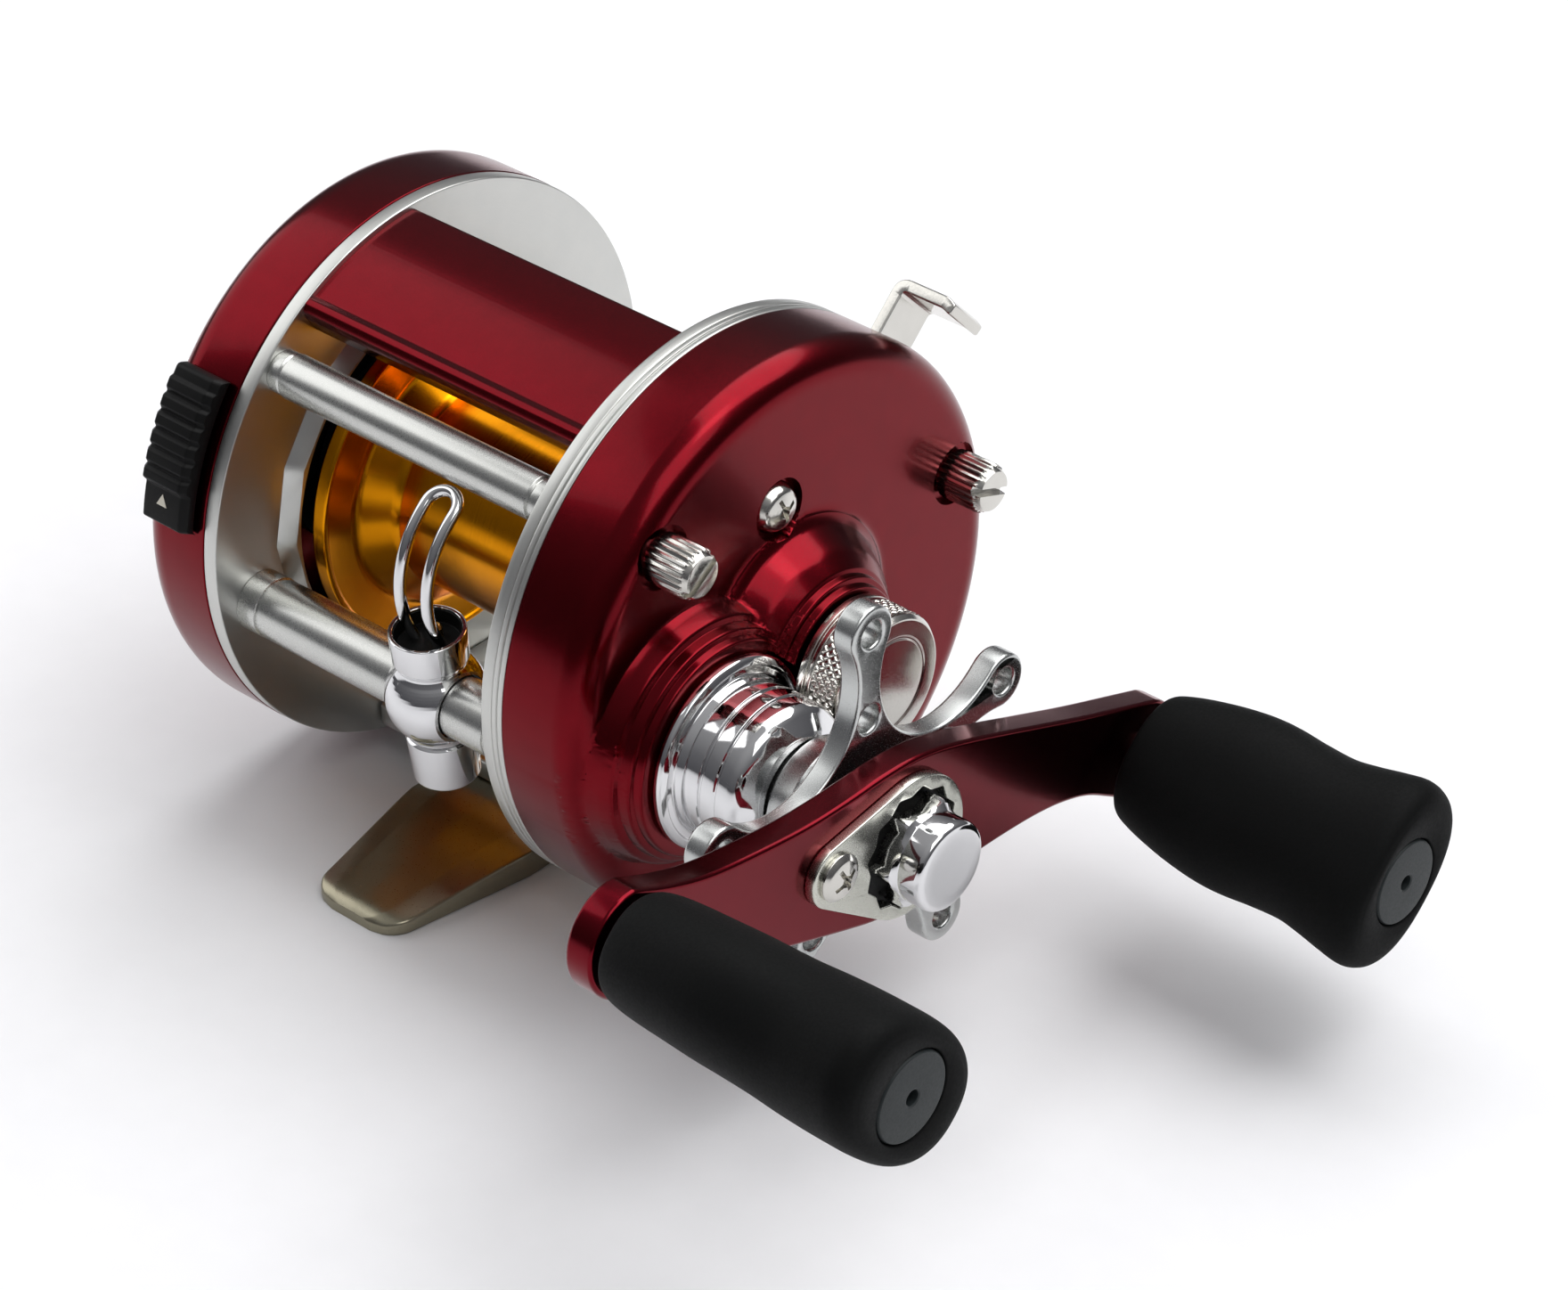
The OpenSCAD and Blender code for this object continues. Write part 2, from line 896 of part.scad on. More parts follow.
module bearing_sleeve() {
    color("silver")
        tube(x_face + 1.2, x_boss + 1, 3.65, drive_r, handle_c);
}

// Smooth curve through all but the first and last of its points.
function curve(p, n) = [
    for (i = [1:len(p) - 3], k = [1:n])
        let (t = k / n, a = p[i - 1], b = p[i], c = p[i + 1], d = p[i + 2])
            b + t * (c - a) / 2 + pow(t, 2) * (2 * a - 5 * b + 4 * c - d) / 2
                + pow(t, 3) * (3 * b - a - 3 * c + d) / 2];

// The arm's two long edges run straight out to one tip and hollow towards the other, round a wide hub.
module arm_outline() {
    end_r = 4.9;
    half = arm_span / 2;
    front = [half, 0];
    rear = [-half, 0];
    upper = [[29.5, -4.1], [25, -3.75], [20, -4.05], [13.7, -4.8], [8.3, -5.95], [4, -7.1], [0, -7.8],
        [-4, -7.85], [-9.4, -7.4], [-17, -6.5], [-23, -5.8], [-29.5, -5.2]];
    lower = [[-29.5, 3.5], [-26, 2.5], [-22.5, 2.2], [-19, 2.4], [-15, 3.05], [-10.8, 3.95], [-7, 4.9],
        [-4, 5.8], [-1.5, 6.6], [2, 6.9], [7, 6.6], [12.6, 6.15], [20, 5.6], [29.5, 5.05]];
    function tip(c, angles) = [for (a = angles) c + polar(end_r, a)];
    polygon(concat(
        arc(front, end_r, 80, -80, 12),
        curve(concat(tip(front, [-60, -80]), upper, tip(rear, [260, 240])), 4),
        arc(rear, end_r, 255, 100, 12),
        curve(concat(tip(rear, [120, 100]), lower, tip(front, [80, 60])), 4)));
}

module handle_arm() {
    color("firebrick")
        difference() {
            on_axis(x_arm, handle_c, arm_dir)
                linear_extrude(arm_t)
                    arm_outline();
            rod(x_arm - 1, x_plate + 1, drive_r, handle_c);
            for (c = knob_cs)
                rod(x_arm - 1, x_plate + 1, 1.7, c);
        }
}

retainer_dir = arm_dir + 0.5;
retainer_reach = 9.5;

module nut_retainer() {
    color("gainsboro")
        difference() {
            on_axis(x_plate, handle_c, retainer_dir)
                linear_extrude(retainer_t)
                    hull() {
                        circle(r = 6.5, $fn = 48);
                        translate([retainer_reach, 0])
                            circle(r = 2.9, $fn = 48);
                    }
            on_axis(x_plate - 1, handle_c, retainer_dir)
                linear_extrude(3)
                    nut_outline(12, 5.05);
            rod(x_plate - 1, x_nut + 1, 1, handle_c + polar(retainer_reach, retainer_dir));
        }
}

// Regular outline with n corners at radius r.
module nut_outline(n, r) {
    polygon([for (i = [0:n - 1]) polar(r, (i + 0.5) * 360 / n)]);
}

module handle_nut() {
    x0 = x_plate + 0.05;
    color("gainsboro")
        difference() {
            union() {
                on_axis(x0, handle_c, retainer_dir)
                    linear_extrude(2.8)
                        nut_outline(6, 4.8);
                rod(x0 + 2.5, x0 + 5.2, 4.1, handle_c);
            }
            rod(x_plate - 1, x_nut + 2, drive_r, handle_c);
        }
}

module retainer_screw() {
    c = handle_c + polar(retainer_reach, retainer_dir);
    color("silver")
        difference() {
            union() {
                rod(x_plate, x_nut, 1, c);
                turned([[0, x_nut], [2.1, x_nut], [2, x_nut + 0.5], [1.2, x_nut + 1], [0, x_nut + 1.1]], c);
            }
            for (a = [0, 90])
                on_axis(x_nut + 0.4, c, a + 30)
                    translate([-1.1, -0.2, 0])
                        cube([2.2, 0.4, 2]);
        }
}

knob_gap = 1;
x_knob = x_plate + knob_gap;
post_r = 1.7;

module knob_posts() {
    color("silver")
        for (c = knob_cs) {
            rod(x_arm - 0.8, x_arm, 3, c);
            rod(x_arm, x_knob + knob_len - 4, post_r, c);
        }
}

// ---- Star drag ----

x_star = x_arm - 1.2;
star_t = 2.2;

// Flat star: round tips joined by hollow sides that come in to web_r.
module star_outline() {
    web_r = 8.2;
    step = 360 / star_arms;
    slack = star_tip_r - web_r;
    side_c = (pow(star_r, 2) - pow(slack, 2)) / (2 * (star_r * cos(step / 2) + slack));
    difference() {
        union() {
            circle(r = star_r);
            for (i = [0:star_arms - 1])
                translate(polar(star_r, i * step))
                    circle(r = star_tip_r);
        }
        for (i = [0:star_arms - 1])
            translate(polar(side_c, (i + 0.5) * step))
                circle(r = side_c - web_r);
    }
}

module star_drag() {
    star_dir = 88;
    sleeve_r = 4.4;
    step = 360 / star_arms;
    color("silver")
        difference() {
            union() {
                on_axis(x_star - star_t, handle_c, star_dir)
                    linear_extrude(star_t)
                        star_outline();
                turned([[0, x_star - star_t - 4], [5.4, x_star - star_t - 4], [5.9, x_star - star_t - 1.6],
                        [7.2, x_star - star_t + eps], [0, x_star - star_t + eps]], handle_c);
                rod(x_boss + 2.4, x_star - star_t, sleeve_r, handle_c);
            }
            rod(x_boss, x_star + 1, drive_r + run, handle_c);
            rod(x_boss, x_boss + 6, 3.6, handle_c);
            for (i = [0:star_arms - 1]) {
                rod(x_star - star_t - 1, x_star + 1, 1.2, handle_c + polar(star_r, star_dir + i * step));
                rod(x_star - star_t - 1, x_star + 1, 1.25, handle_c + polar(10.2, star_dir + i * step));
            }
        }
}

module star_nut() {
    color("goldenrod")
        difference() {
            rod(x_boss + 4.2, x_boss + 6, 3.6, handle_c);
            rod(x_boss, x_boss + 8, drive_r + run, handle_c);
        }
}

module spring_washers() {
    color("silver")
        for (i = [0, 1])
            tube(x_boss + 2.7 + 0.7 * i, x_boss + 3.3 + 0.7 * i, 3.5, drive_r + run, handle_c);
}

// ---- Knobs ----

// Half-width of a knob along its length, as [radius, distance from the arm].
function knob_outline() = let (w = knob_w / 2, l = knob_len)
    [[0, 0], [w - 3.2, 0], [w - 2.4, 0.02 * l], [w - 1.4, 0.18 * l], [w - 0.8, 0.3 * l],
     [w - 0.7, 0.4 * l], [w - 0.9, 0.52 * l], [w - 1, 0.65 * l], [w - 0.6, 0.75 * l],
     [w - 0.1, 0.85 * l], [w + 0.2, 0.91 * l], [w - 0.2, 0.96 * l], [w - 1.4, l], [0, l]];

cap_r = 3.9;
cap_t = 1.2;

module knob(c, dir) {
    color("darkslategray")
        difference() {
            intersection() {
                turned([for (p = knob_outline()) [p[0], x_knob + p[1]]], c);
                on_axis(x_knob - 1, c, dir)
                    translate([-knob_w, -knob_t / 2, 0])
                        cube([2 * knob_w, knob_t, knob_len + 2]);
            }
            rod(x_knob - 1, x_knob + knob_len - 3, post_r + run, c);
            rod(x_knob + knob_len - 3.6, x_knob + knob_len - cap_t, 2.6, c);
            rod(x_knob + knob_len - cap_t, x_knob + knob_len + 1, cap_r, c);
        }
}

module knob_cap(c) {
    color("dimgray")
        difference() {
            rod(x_knob + knob_len - cap_t, x_knob + knob_len + 0.05, cap_r, c);
            rod(x_knob + knob_len - 0.8, x_knob + knob_len + 1, 0.7, c);
        }
}

module front_knob() {
    knob(knob_cs[0], 135);
}

module front_knob_cap() {
    knob_cap(knob_cs[0]);
}

module rear_knob() {
    knob(knob_cs[1], 45);
}

module rear_knob_cap() {
    knob_cap(knob_cs[1]);
}

frame_plate_gear();
frame_plate_palm();
thumb_hood();
front_pillar();
rear_pillar();
foot_bridge();
reel_foot();
foot_rivets();
trim_ring();
palm_cup();
palm_bearing_holder();
palm_bearing();
gear_cup();
gear_set_plate();
thumb_screws();
cover_screw();
levelwind_tube();
worm_bushes();
cap_bearing();
one_way_bearing();
shaft_housing();
yoke_posts();
spool();
spool_shaft();
clutch_pin();
brake_inductor();
pinion();
clutch_yoke();
yoke_springs();
clutch_lever();
brake_slider();
brake_ring();
magnet_carrier();
brake_magnets();
cast_control_cap();
cap_shims();
drive_shaft();
main_gear();
levelwind_drive_gear();
drag_washers();
bearing_sleeve();
handle_arm();
handle_nut();
nut_retainer();
retainer_screw();
knob_posts();
star_drag();
star_nut();
spring_washers();
front_knob();
front_knob_cap();
rear_knob();
rear_knob_cap();
worm_shaft();
worm_gear();
carriage();
pawl();
pawl_cap();
line_guide();
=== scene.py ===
"""Looks of a round baitcasting reel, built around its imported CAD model."""

import json
import math

import bmesh
import bpy
import numpy as np
from mathutils.geometry import delaunay_2d_cdt
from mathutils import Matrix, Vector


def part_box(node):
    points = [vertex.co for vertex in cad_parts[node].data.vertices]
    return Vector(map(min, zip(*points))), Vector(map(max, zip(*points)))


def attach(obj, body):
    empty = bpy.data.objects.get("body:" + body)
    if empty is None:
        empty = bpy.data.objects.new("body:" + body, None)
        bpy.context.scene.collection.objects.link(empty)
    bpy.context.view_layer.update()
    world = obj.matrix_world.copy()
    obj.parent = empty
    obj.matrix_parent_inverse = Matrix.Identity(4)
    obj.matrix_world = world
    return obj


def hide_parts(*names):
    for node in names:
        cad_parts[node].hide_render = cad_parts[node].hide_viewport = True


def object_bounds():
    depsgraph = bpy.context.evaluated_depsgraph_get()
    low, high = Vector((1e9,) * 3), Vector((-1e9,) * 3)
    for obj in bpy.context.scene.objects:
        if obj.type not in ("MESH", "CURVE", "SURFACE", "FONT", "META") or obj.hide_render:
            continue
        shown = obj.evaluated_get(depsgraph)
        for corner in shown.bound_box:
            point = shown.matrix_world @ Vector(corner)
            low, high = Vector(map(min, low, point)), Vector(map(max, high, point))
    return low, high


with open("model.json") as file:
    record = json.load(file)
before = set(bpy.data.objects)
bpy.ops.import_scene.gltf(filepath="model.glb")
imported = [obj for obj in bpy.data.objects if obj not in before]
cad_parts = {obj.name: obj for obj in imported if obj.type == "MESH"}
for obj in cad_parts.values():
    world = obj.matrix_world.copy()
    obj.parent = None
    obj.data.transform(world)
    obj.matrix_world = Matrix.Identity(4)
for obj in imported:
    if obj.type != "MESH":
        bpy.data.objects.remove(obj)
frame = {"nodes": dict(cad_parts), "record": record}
cad_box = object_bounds()

# Lengths in this script are millimetres in the row frame; meshes are stored in metres.
MM = 0.001


# ---- Measures taken from the frame ----

def low(node):
    return np.array(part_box(node)[0]) / MM


def high(node):
    return np.array(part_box(node)[1]) / MM


def axis_of(node):
    """[y, z] of the middle of a node, which is a round node's axis."""
    return ((low(node) + high(node)) / 2)[1:]


def middle_x(node):
    return ((low(node) + high(node)) / 2)[0]


SPOOL = axis_of("trim_ring")
HANDLE = axis_of("shaft_housing")
WORM = axis_of("levelwind_tube")
KNOB_AXES = {"front": axis_of("front_knob_cap"), "rear": axis_of("rear_knob_cap")}
PLATE_R = (high("trim_ring") - low("trim_ring"))[1] / 2
X_IN = high("front_pillar")[0]
X_PALM = low("frame_plate_palm")[0]
X_TRIM = low("trim_ring")[0]
X_GEAR = high("trim_ring")[0]
X_BOSS = low("shaft_housing")[0]
X_ARM, X_PLATE = low("handle_arm")[0], high("handle_arm")[0]
X_CARRIAGE = middle_x("line_guide")
# height of the crank's boss over the gear-side cover's face
BOSS_RISE = 4
X_FACE = X_BOSS - BOSS_RISE
# radius of the round opening in both frame plates
BAY_R = 17.4
# rim rounding and wall of both red covers
FILLET = 2.8
WALL = 1.2
# radius of the round seat that the drive housing stands in
HOUSING_SEAT_R = 9.1
# directions about the spool axis, in degrees: the brake slider, and the clutch lever's strip and slot
SLIDER_DIR = 157
LEVER_DIR = 44
LEVER_SLOT = (22, 52)
# lean of the line carriage about the tube's axis, in degrees
CARRIAGE_TILT = 6
ARM_DIR = math.degrees(math.atan2(*(KNOB_AXES["front"] - HANDLE)[::-1]))
ARM_HALF = float(np.linalg.norm(KNOB_AXES["front"] - HANDLE))


def polar(r, degrees):
    return np.array([r * math.cos(math.radians(degrees)), r * math.sin(math.radians(degrees))])


def arc(centre, r, start, end, steps):
    return [np.array(centre) + polar(r, a) for a in np.linspace(start, end, steps + 1)]


def circle(centre, r, steps=48):
    return arc(centre, r, 0, 360 * (1 - 1 / steps), steps - 1)


SCREW_CIRCLE_R = 22.4
SCREWS = [SPOOL + polar(SCREW_CIRCLE_R, a) for a in (135, 16.5, 255)]
COVER_SCREW = axis_of("cover_screw")


# ---- Mesh building ----

def on_x(centre, angle=0.0):
    """Maps local points so that their third value runs along +X and their first points at angle."""
    c, s = math.cos(math.radians(angle)), math.sin(math.radians(angle))
    turn = np.array([[0, 0, 1], [c, -s, 0], [s, c, 0]])
    shift = np.array([0, centre[0], centre[1]])
    return lambda points: np.asarray(points, float) @ turn.T + shift


def on_z(origin):
    """Maps local points so that their third value runs along +Z from an origin."""
    return lambda points: np.asarray(points, float) + np.array(origin)


def link(name, bm):
    """Turns a finished bmesh into an object in the scene."""
    bmesh.ops.remove_doubles(bm, verts=bm.verts, dist=1e-7)
    bmesh.ops.recalc_face_normals(bm, faces=bm.faces)
    mesh = bpy.data.meshes.new(name)
    bm.to_mesh(mesh)
    bm.free()
    obj = bpy.data.objects.new(name, mesh)
    bpy.context.scene.collection.objects.link(obj)
    return obj


def solid(name, points, faces):
    """Object from points in millimetres and lists of their numbers."""
    mesh = bpy.data.meshes.new(name)
    mesh.from_pydata((np.asarray(points) * MM).tolist(), [], faces)
    bm = bmesh.new()
    bm.from_mesh(mesh)
    bpy.data.meshes.remove(mesh)
    return link(name, bm)


def loft(name, rings, loop=False):
    """Skin over rings of points; a ring of one point is a pole."""
    starts = np.cumsum([0] + [len(r) for r in rings])
    pairs = list(zip(range(len(rings) - 1), range(1, len(rings))))
    if loop:
        pairs.append((len(rings) - 1, 0))
    faces = []
    for i, j in pairs:
        n = max(len(rings[i]), len(rings[j]))
        for k in range(n):
            m = (k + 1) % n
            a, b = [int(starts[i] + q % len(rings[i])) for q in (k, m)]
            c, d = [int(starts[j] + q % len(rings[j])) for q in (m, k)]
            face = list(dict.fromkeys((a, b, c, d)))
            if len(face) > 2:
                faces.append(face)
    if not loop:
        for i in (0, len(rings) - 1):
            if len(rings[i]) > 1:
                faces.append(list(range(int(starts[i]), int(starts[i + 1]))))
    return solid(name, np.concatenate(rings), faces)


def ring(radius, along, steps):
    """Circle of points about the local third axis; the radius may be a function of the angle."""
    turn = np.linspace(0, 2 * np.pi, steps, endpoint=False)
    r = radius(turn) if callable(radius) else np.full(steps, float(radius))
    return np.stack([r * np.cos(turn), r * np.sin(turn), np.full(steps, float(along))], 1)


def lathe(name, profile, place, steps=160):
    """Solid of revolution; the profile is a list of (distance along the axis, radius)."""
    rings = [place([[0, 0, w]]) if not callable(r) and r < 1e-6 else place(ring(r, w, steps))
             for w, r in profile]
    return loft(name, rings, loop=len(rings[0]) > 1 and len(rings[-1]) > 1)


def rounded(points, radius, steps=4, loop=False):
    """Rounds the corners of an outline; a third value in a point is that corner's own radius."""
    out = []
    n = len(points)
    for i, point in enumerate(points):
        p = np.array(point[:2], float)
        r = point[2] if len(point) > 2 else radius
        if r == 0 or (not loop and i in (0, n - 1)):
            out.append(p)
            continue
        a = np.array(points[i - 1][:2], float) - p
        b = np.array(points[(i + 1) % n][:2], float) - p
        la, lb = np.linalg.norm(a), np.linalg.norm(b)
        a, b = a / la, b / lb
        bend = math.acos(float(np.clip(a @ b, -1, 1)))
        reach = min(r / max(math.tan(bend / 2), 1e-6), 0.45 * la, 0.45 * lb)
        for t in np.linspace(0, 1, steps + 1):
            out.append(p + (1 - t) ** 2 * reach * a + t ** 2 * reach * b)
    return out


def inset(points, amount):
    """Moves a closed outline to its left by an amount."""
    def left(d):
        d = d / np.linalg.norm(d, axis=1, keepdims=True)
        return np.stack([-d[:, 1], d[:, 0]], 1)
    n1 = left(points - np.roll(points, 1, 0))
    n2 = left(np.roll(points, -1, 0) - points)
    return points + amount * (n1 + n2) / (1 + (n1 * n2).sum(1, keepdims=True))


def slab(name, outlines, w0, w1, bevel, place, steps=3):
    """Plate from w0 to w1 with rounded rims; the first outline is its edge and the others are holes."""
    bm = bmesh.new()
    caps = ([], [])
    for number, outline in enumerate(outlines):
        points = np.array(outline, float)
        y = np.roll(points[:, 1], -1)
        x = np.roll(points[:, 0], -1)
        area = (points[:, 0] * y - x * points[:, 1]).sum()
        if (area > 0) == (number > 0):
            points = points[::-1]
        quarter = np.linspace(0, math.pi / 2, steps + 1)
        levels = [(bevel * (1 - math.sin(t)), w0 + bevel * (1 - math.cos(t))) for t in quarter]
        levels += [(d, w0 + w1 - w) for d, w in levels[::-1]]
        rows = []
        for depth, w in levels:
            flat = inset(points, depth)
            world = place(np.column_stack([flat, np.full(len(flat), w)])) * MM
            rows.append([bm.verts.new(v) for v in world])
        n = len(points)
        for lower, upper in zip(rows, rows[1:]):
            for k in range(n):
                bm.faces.new((lower[k], lower[(k + 1) % n], upper[(k + 1) % n], upper[k]))
        for cap, row in zip(caps, (rows[0], rows[-1])):
            cap.extend(bm.edges.get((row[k], row[(k + 1) % n])) for k in range(n))
    for edges in caps:
        bmesh.ops.triangle_fill(bm, use_beauty=True, edges=edges)
    return link(name, bm)


def sweep(name, path, radius, sides=20):
    """Round wire along a list of points, with flat ends."""
    path = np.array(path, float)
    tangents = np.gradient(path, axis=0)
    tangents /= np.linalg.norm(tangents, axis=1, keepdims=True)
    side = np.cross(tangents[0], [1.0, 0.3, 0.2])
    turn = np.linspace(0, 2 * np.pi, sides, endpoint=False)[:, None]
    rings = []
    for point, tangent in zip(path, tangents):
        side = side - tangent * (side @ tangent)
        side /= np.linalg.norm(side)
        other = np.cross(tangent, side)
        rings.append(point + radius * (np.cos(turn) * side + np.sin(turn) * other))
    return loft(name, rings)


def cut(obj, *cutters):
    """Takes the cutters away from a solid."""
    for cutter in cutters:
        step = obj.modifiers.new("cut", "BOOLEAN")
        step.operation = "DIFFERENCE"
        step.solver = "EXACT"
        step.object = cutter
    evaluated = obj.evaluated_get(bpy.context.evaluated_depsgraph_get())
    mesh = bpy.data.meshes.new_from_object(evaluated)
    obj.modifiers.clear()
    obj.data = mesh
    for cutter in cutters:
        bpy.data.objects.remove(cutter)
    return obj


def join(name, parts):
    bm = bmesh.new()
    for part in parts:
        bm.from_mesh(part.data)
        bpy.data.objects.remove(part)
    mesh = bpy.data.meshes.new(name)
    bm.to_mesh(mesh)
    bm.free()
    obj = bpy.data.objects.new(name, mesh)
    bpy.context.scene.collection.objects.link(obj)
    return obj


def box_solid(name, size, centre, place, bevel=0.02):
    """Block of a size about a local centre, used as a cutter or a small machined block."""
    (a, b, c), (x, y, w) = size, centre
    outline = [(x - a / 2, y - b / 2), (x + a / 2, y - b / 2),
               (x + a / 2, y + b / 2), (x - a / 2, y + b / 2)]
    return slab(name, [outline], w - c / 2, w + c / 2, bevel, place, steps=1)


def piece(obj, look, body, *nodes, sharp=32, flat=False):
    """Gives a piece its material, shading and body, and hides the CAD nodes that it stands for."""
    material, slot = look
    obj.data.materials.clear()
    obj.data.materials.append(material)
    obj.data.shade_smooth()
    obj.data.set_sharp_from_angle(angle=math.radians(sharp))
    if flat:
        normals = obj.modifiers.new("flat_faces", "WEIGHTED_NORMAL")
        normals.weight = 100
        normals.keep_sharp = True
    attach(obj, body)
    if nodes:
        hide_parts(*nodes)
    return obj


# ---- Materials ----

def linear(r, g, b):
    """Linear colour from display values between 0 and 255."""
    return tuple((v / 255 / 12.92) if v < 10.3 else ((v / 255 + 0.055) / 1.055) ** 2.4
                 for v in (r, g, b)) + (1.0,)


# relief depth in metres, and how many lathe lines a metre has
RELIEF = 0.00002
LATHE_LINES = 5200


def look(slot, colour, second, metallic, roughness, spread, grain, bump,
         turned=None, coat=0.0, specular=0.5):
    """Surface whose colour, roughness and relief vary with noise; turned gives lathe lines about an axis."""
    material = bpy.data.materials.new("look_" + slot)
    material.use_nodes = True
    nodes, links = material.node_tree.nodes, material.node_tree.links
    shader = nodes["Principled BSDF"]
    shader.inputs["Metallic"].default_value = metallic
    shader.inputs["Specular IOR Level"].default_value = specular
    if coat:
        shader.inputs["Coat Weight"].default_value = coat
        shader.inputs["Coat Roughness"].default_value = 0.08
    where = nodes.new("ShaderNodeTexCoord").outputs["Object"]

    def noise(scale, detail, vector=where):
        made = nodes.new("ShaderNodeTexNoise")
        made.inputs["Scale"].default_value = scale
        made.inputs["Detail"].default_value = detail
        links.new(vector, made.inputs["Vector"])
        return made.outputs["Fac"]

    fine = noise(grain, 3)
    if turned is not None:
        shifted = nodes.new("ShaderNodeVectorMath")
        shifted.operation = "SUBTRACT"
        shifted.inputs[1].default_value = (0, turned[0] * MM, turned[1] * MM)
        links.new(where, shifted.inputs[0])
        parts = nodes.new("ShaderNodeSeparateXYZ")
        links.new(shifted.outputs[0], parts.inputs[0])
        flat = nodes.new("ShaderNodeCombineXYZ")
        links.new(parts.outputs["Y"], flat.inputs["Y"])
        links.new(parts.outputs["Z"], flat.inputs["Z"])
        radius = nodes.new("ShaderNodeVectorMath")
        radius.operation = "LENGTH"
        links.new(flat.outputs[0], radius.inputs[0])
        total = nodes.new("ShaderNodeMath")
        total.operation = "ADD"
        links.new(parts.outputs["X"], total.inputs[0])
        links.new(radius.outputs["Value"], total.inputs[1])
        lines = nodes.new("ShaderNodeTexNoise")
        lines.noise_dimensions = "1D"
        lines.inputs["Scale"].default_value = LATHE_LINES
        lines.inputs["Detail"].default_value = 3
        links.new(total.outputs[0], lines.inputs["W"])
        both = nodes.new("ShaderNodeMix")
        both.inputs["Factor"].default_value = 0.65
        links.new(fine, both.inputs["A"])
        links.new(lines.outputs["Fac"], both.inputs["B"])
        fine = both.outputs["Result"]
    tint = nodes.new("ShaderNodeMix")
    tint.data_type = "RGBA"
    tint.inputs["A"].default_value = linear(*colour)
    tint.inputs["B"].default_value = linear(*second)
    links.new(noise(grain * 0.06, 4), tint.inputs["Factor"])
    links.new(tint.outputs["Result"], shader.inputs["Base Color"])
    rough = nodes.new("ShaderNodeMapRange")
    rough.inputs["From Min"].default_value = 0.3
    rough.inputs["From Max"].default_value = 0.7
    rough.inputs["To Min"].default_value = roughness - spread
    rough.inputs["To Max"].default_value = roughness + spread
    links.new(fine, rough.inputs["Value"])
    links.new(rough.outputs["Result"], shader.inputs["Roughness"])
    relief = nodes.new("ShaderNodeBump")
    relief.inputs["Strength"].default_value = bump
    relief.inputs["Distance"].default_value = RELIEF
    links.new(fine, relief.inputs["Height"])
    links.new(relief.outputs["Normal"], shader.inputs["Normal"])
    return material, slot


RED = look("red_anodised", (112, 10, 22), (100, 8, 19), 1, 0.22, 0.04, 9000, 0.12, coat=0.1)
RED_ARM = look("red_arm", (110, 8, 24), (98, 6, 20), 1, 0.2, 0.03, 8000, 0.08, coat=0.12)
SATIN = look("satin_aluminium", (204, 204, 200), (197, 198, 195), 1, 0.34, 0.04, 7000, 0.1, turned=SPOOL)
CHROME = look("chrome", (226, 226, 226), (214, 214, 216), 1, 0.07, 0.02, 3000, 0.04)
STEEL = look("bright_steel", (214, 212, 206), (196, 194, 188), 1, 0.17, 0.05, 6000, 0.15)
FOOT = look("foot_steel", (158, 152, 132), (146, 141, 122), 1, 0.3, 0.03, 7000, 0.06)
GOLD = look("gold_anodised", (226, 146, 14), (212, 132, 8), 1, 0.2, 0.04, 6000, 0.08, turned=SPOOL)
BRASS = look("brass", (206, 164, 92), (184, 140, 70), 1, 0.25, 0.06, 5000, 0.2)
BEARING = look("bearing_steel", (196, 198, 200), (180, 182, 186), 1, 0.15, 0.04, 5000, 0.1)
RUBBER = look("black_rubber", (7, 8, 8), (4, 5, 5), 0, 0.68, 0.05, 4200, 0.4, specular=0.12)
GREY = look("grey_plastic", (34, 40, 41), (28, 33, 34), 0, 0.5, 0.05, 5000, 0.2, specular=0.3)
BLACK = look("black_plastic", (6, 6, 6), (4, 4, 4), 0, 0.5, 0.05, 5000, 0.2, specular=0.18)
NYLON = look("nylon", (226, 222, 208), (214, 208, 190), 0, 0.5, 0.06, 4000, 0.2)
FIBRE = look("drag_fibre", (92, 74, 60), (70, 54, 44), 0, 0.85, 0.08, 3500, 0.8)
MAGNET = look("magnet", (170, 170, 174), (150, 150, 156), 1, 0.3, 0.06, 4000, 0.2)
# looks by record slot, for the CAD nodes that are carried over
LOOKS = {made[1]: made for made in (
    RED, RED_ARM, SATIN, CHROME, STEEL, FOOT, GOLD, BRASS, BEARING, RUBBER, GREY, BLACK, NYLON, FIBRE,
    MAGNET)}
# finishes of their own within a shared slot
SATIN_ROD = look("satin_aluminium", (202, 202, 198), (196, 197, 194), 1, 0.28, 0.02, 9000, 0.02)
STAR = look("satin_aluminium", (198, 200, 198), (193, 195, 194), 1, 0.26, 0.02, 9000, 0.02)
PLATED = look("chrome", (204, 204, 194), (196, 197, 188), 1, 0.26, 0.03, 9000, 0.03)


# ---- Frame ----

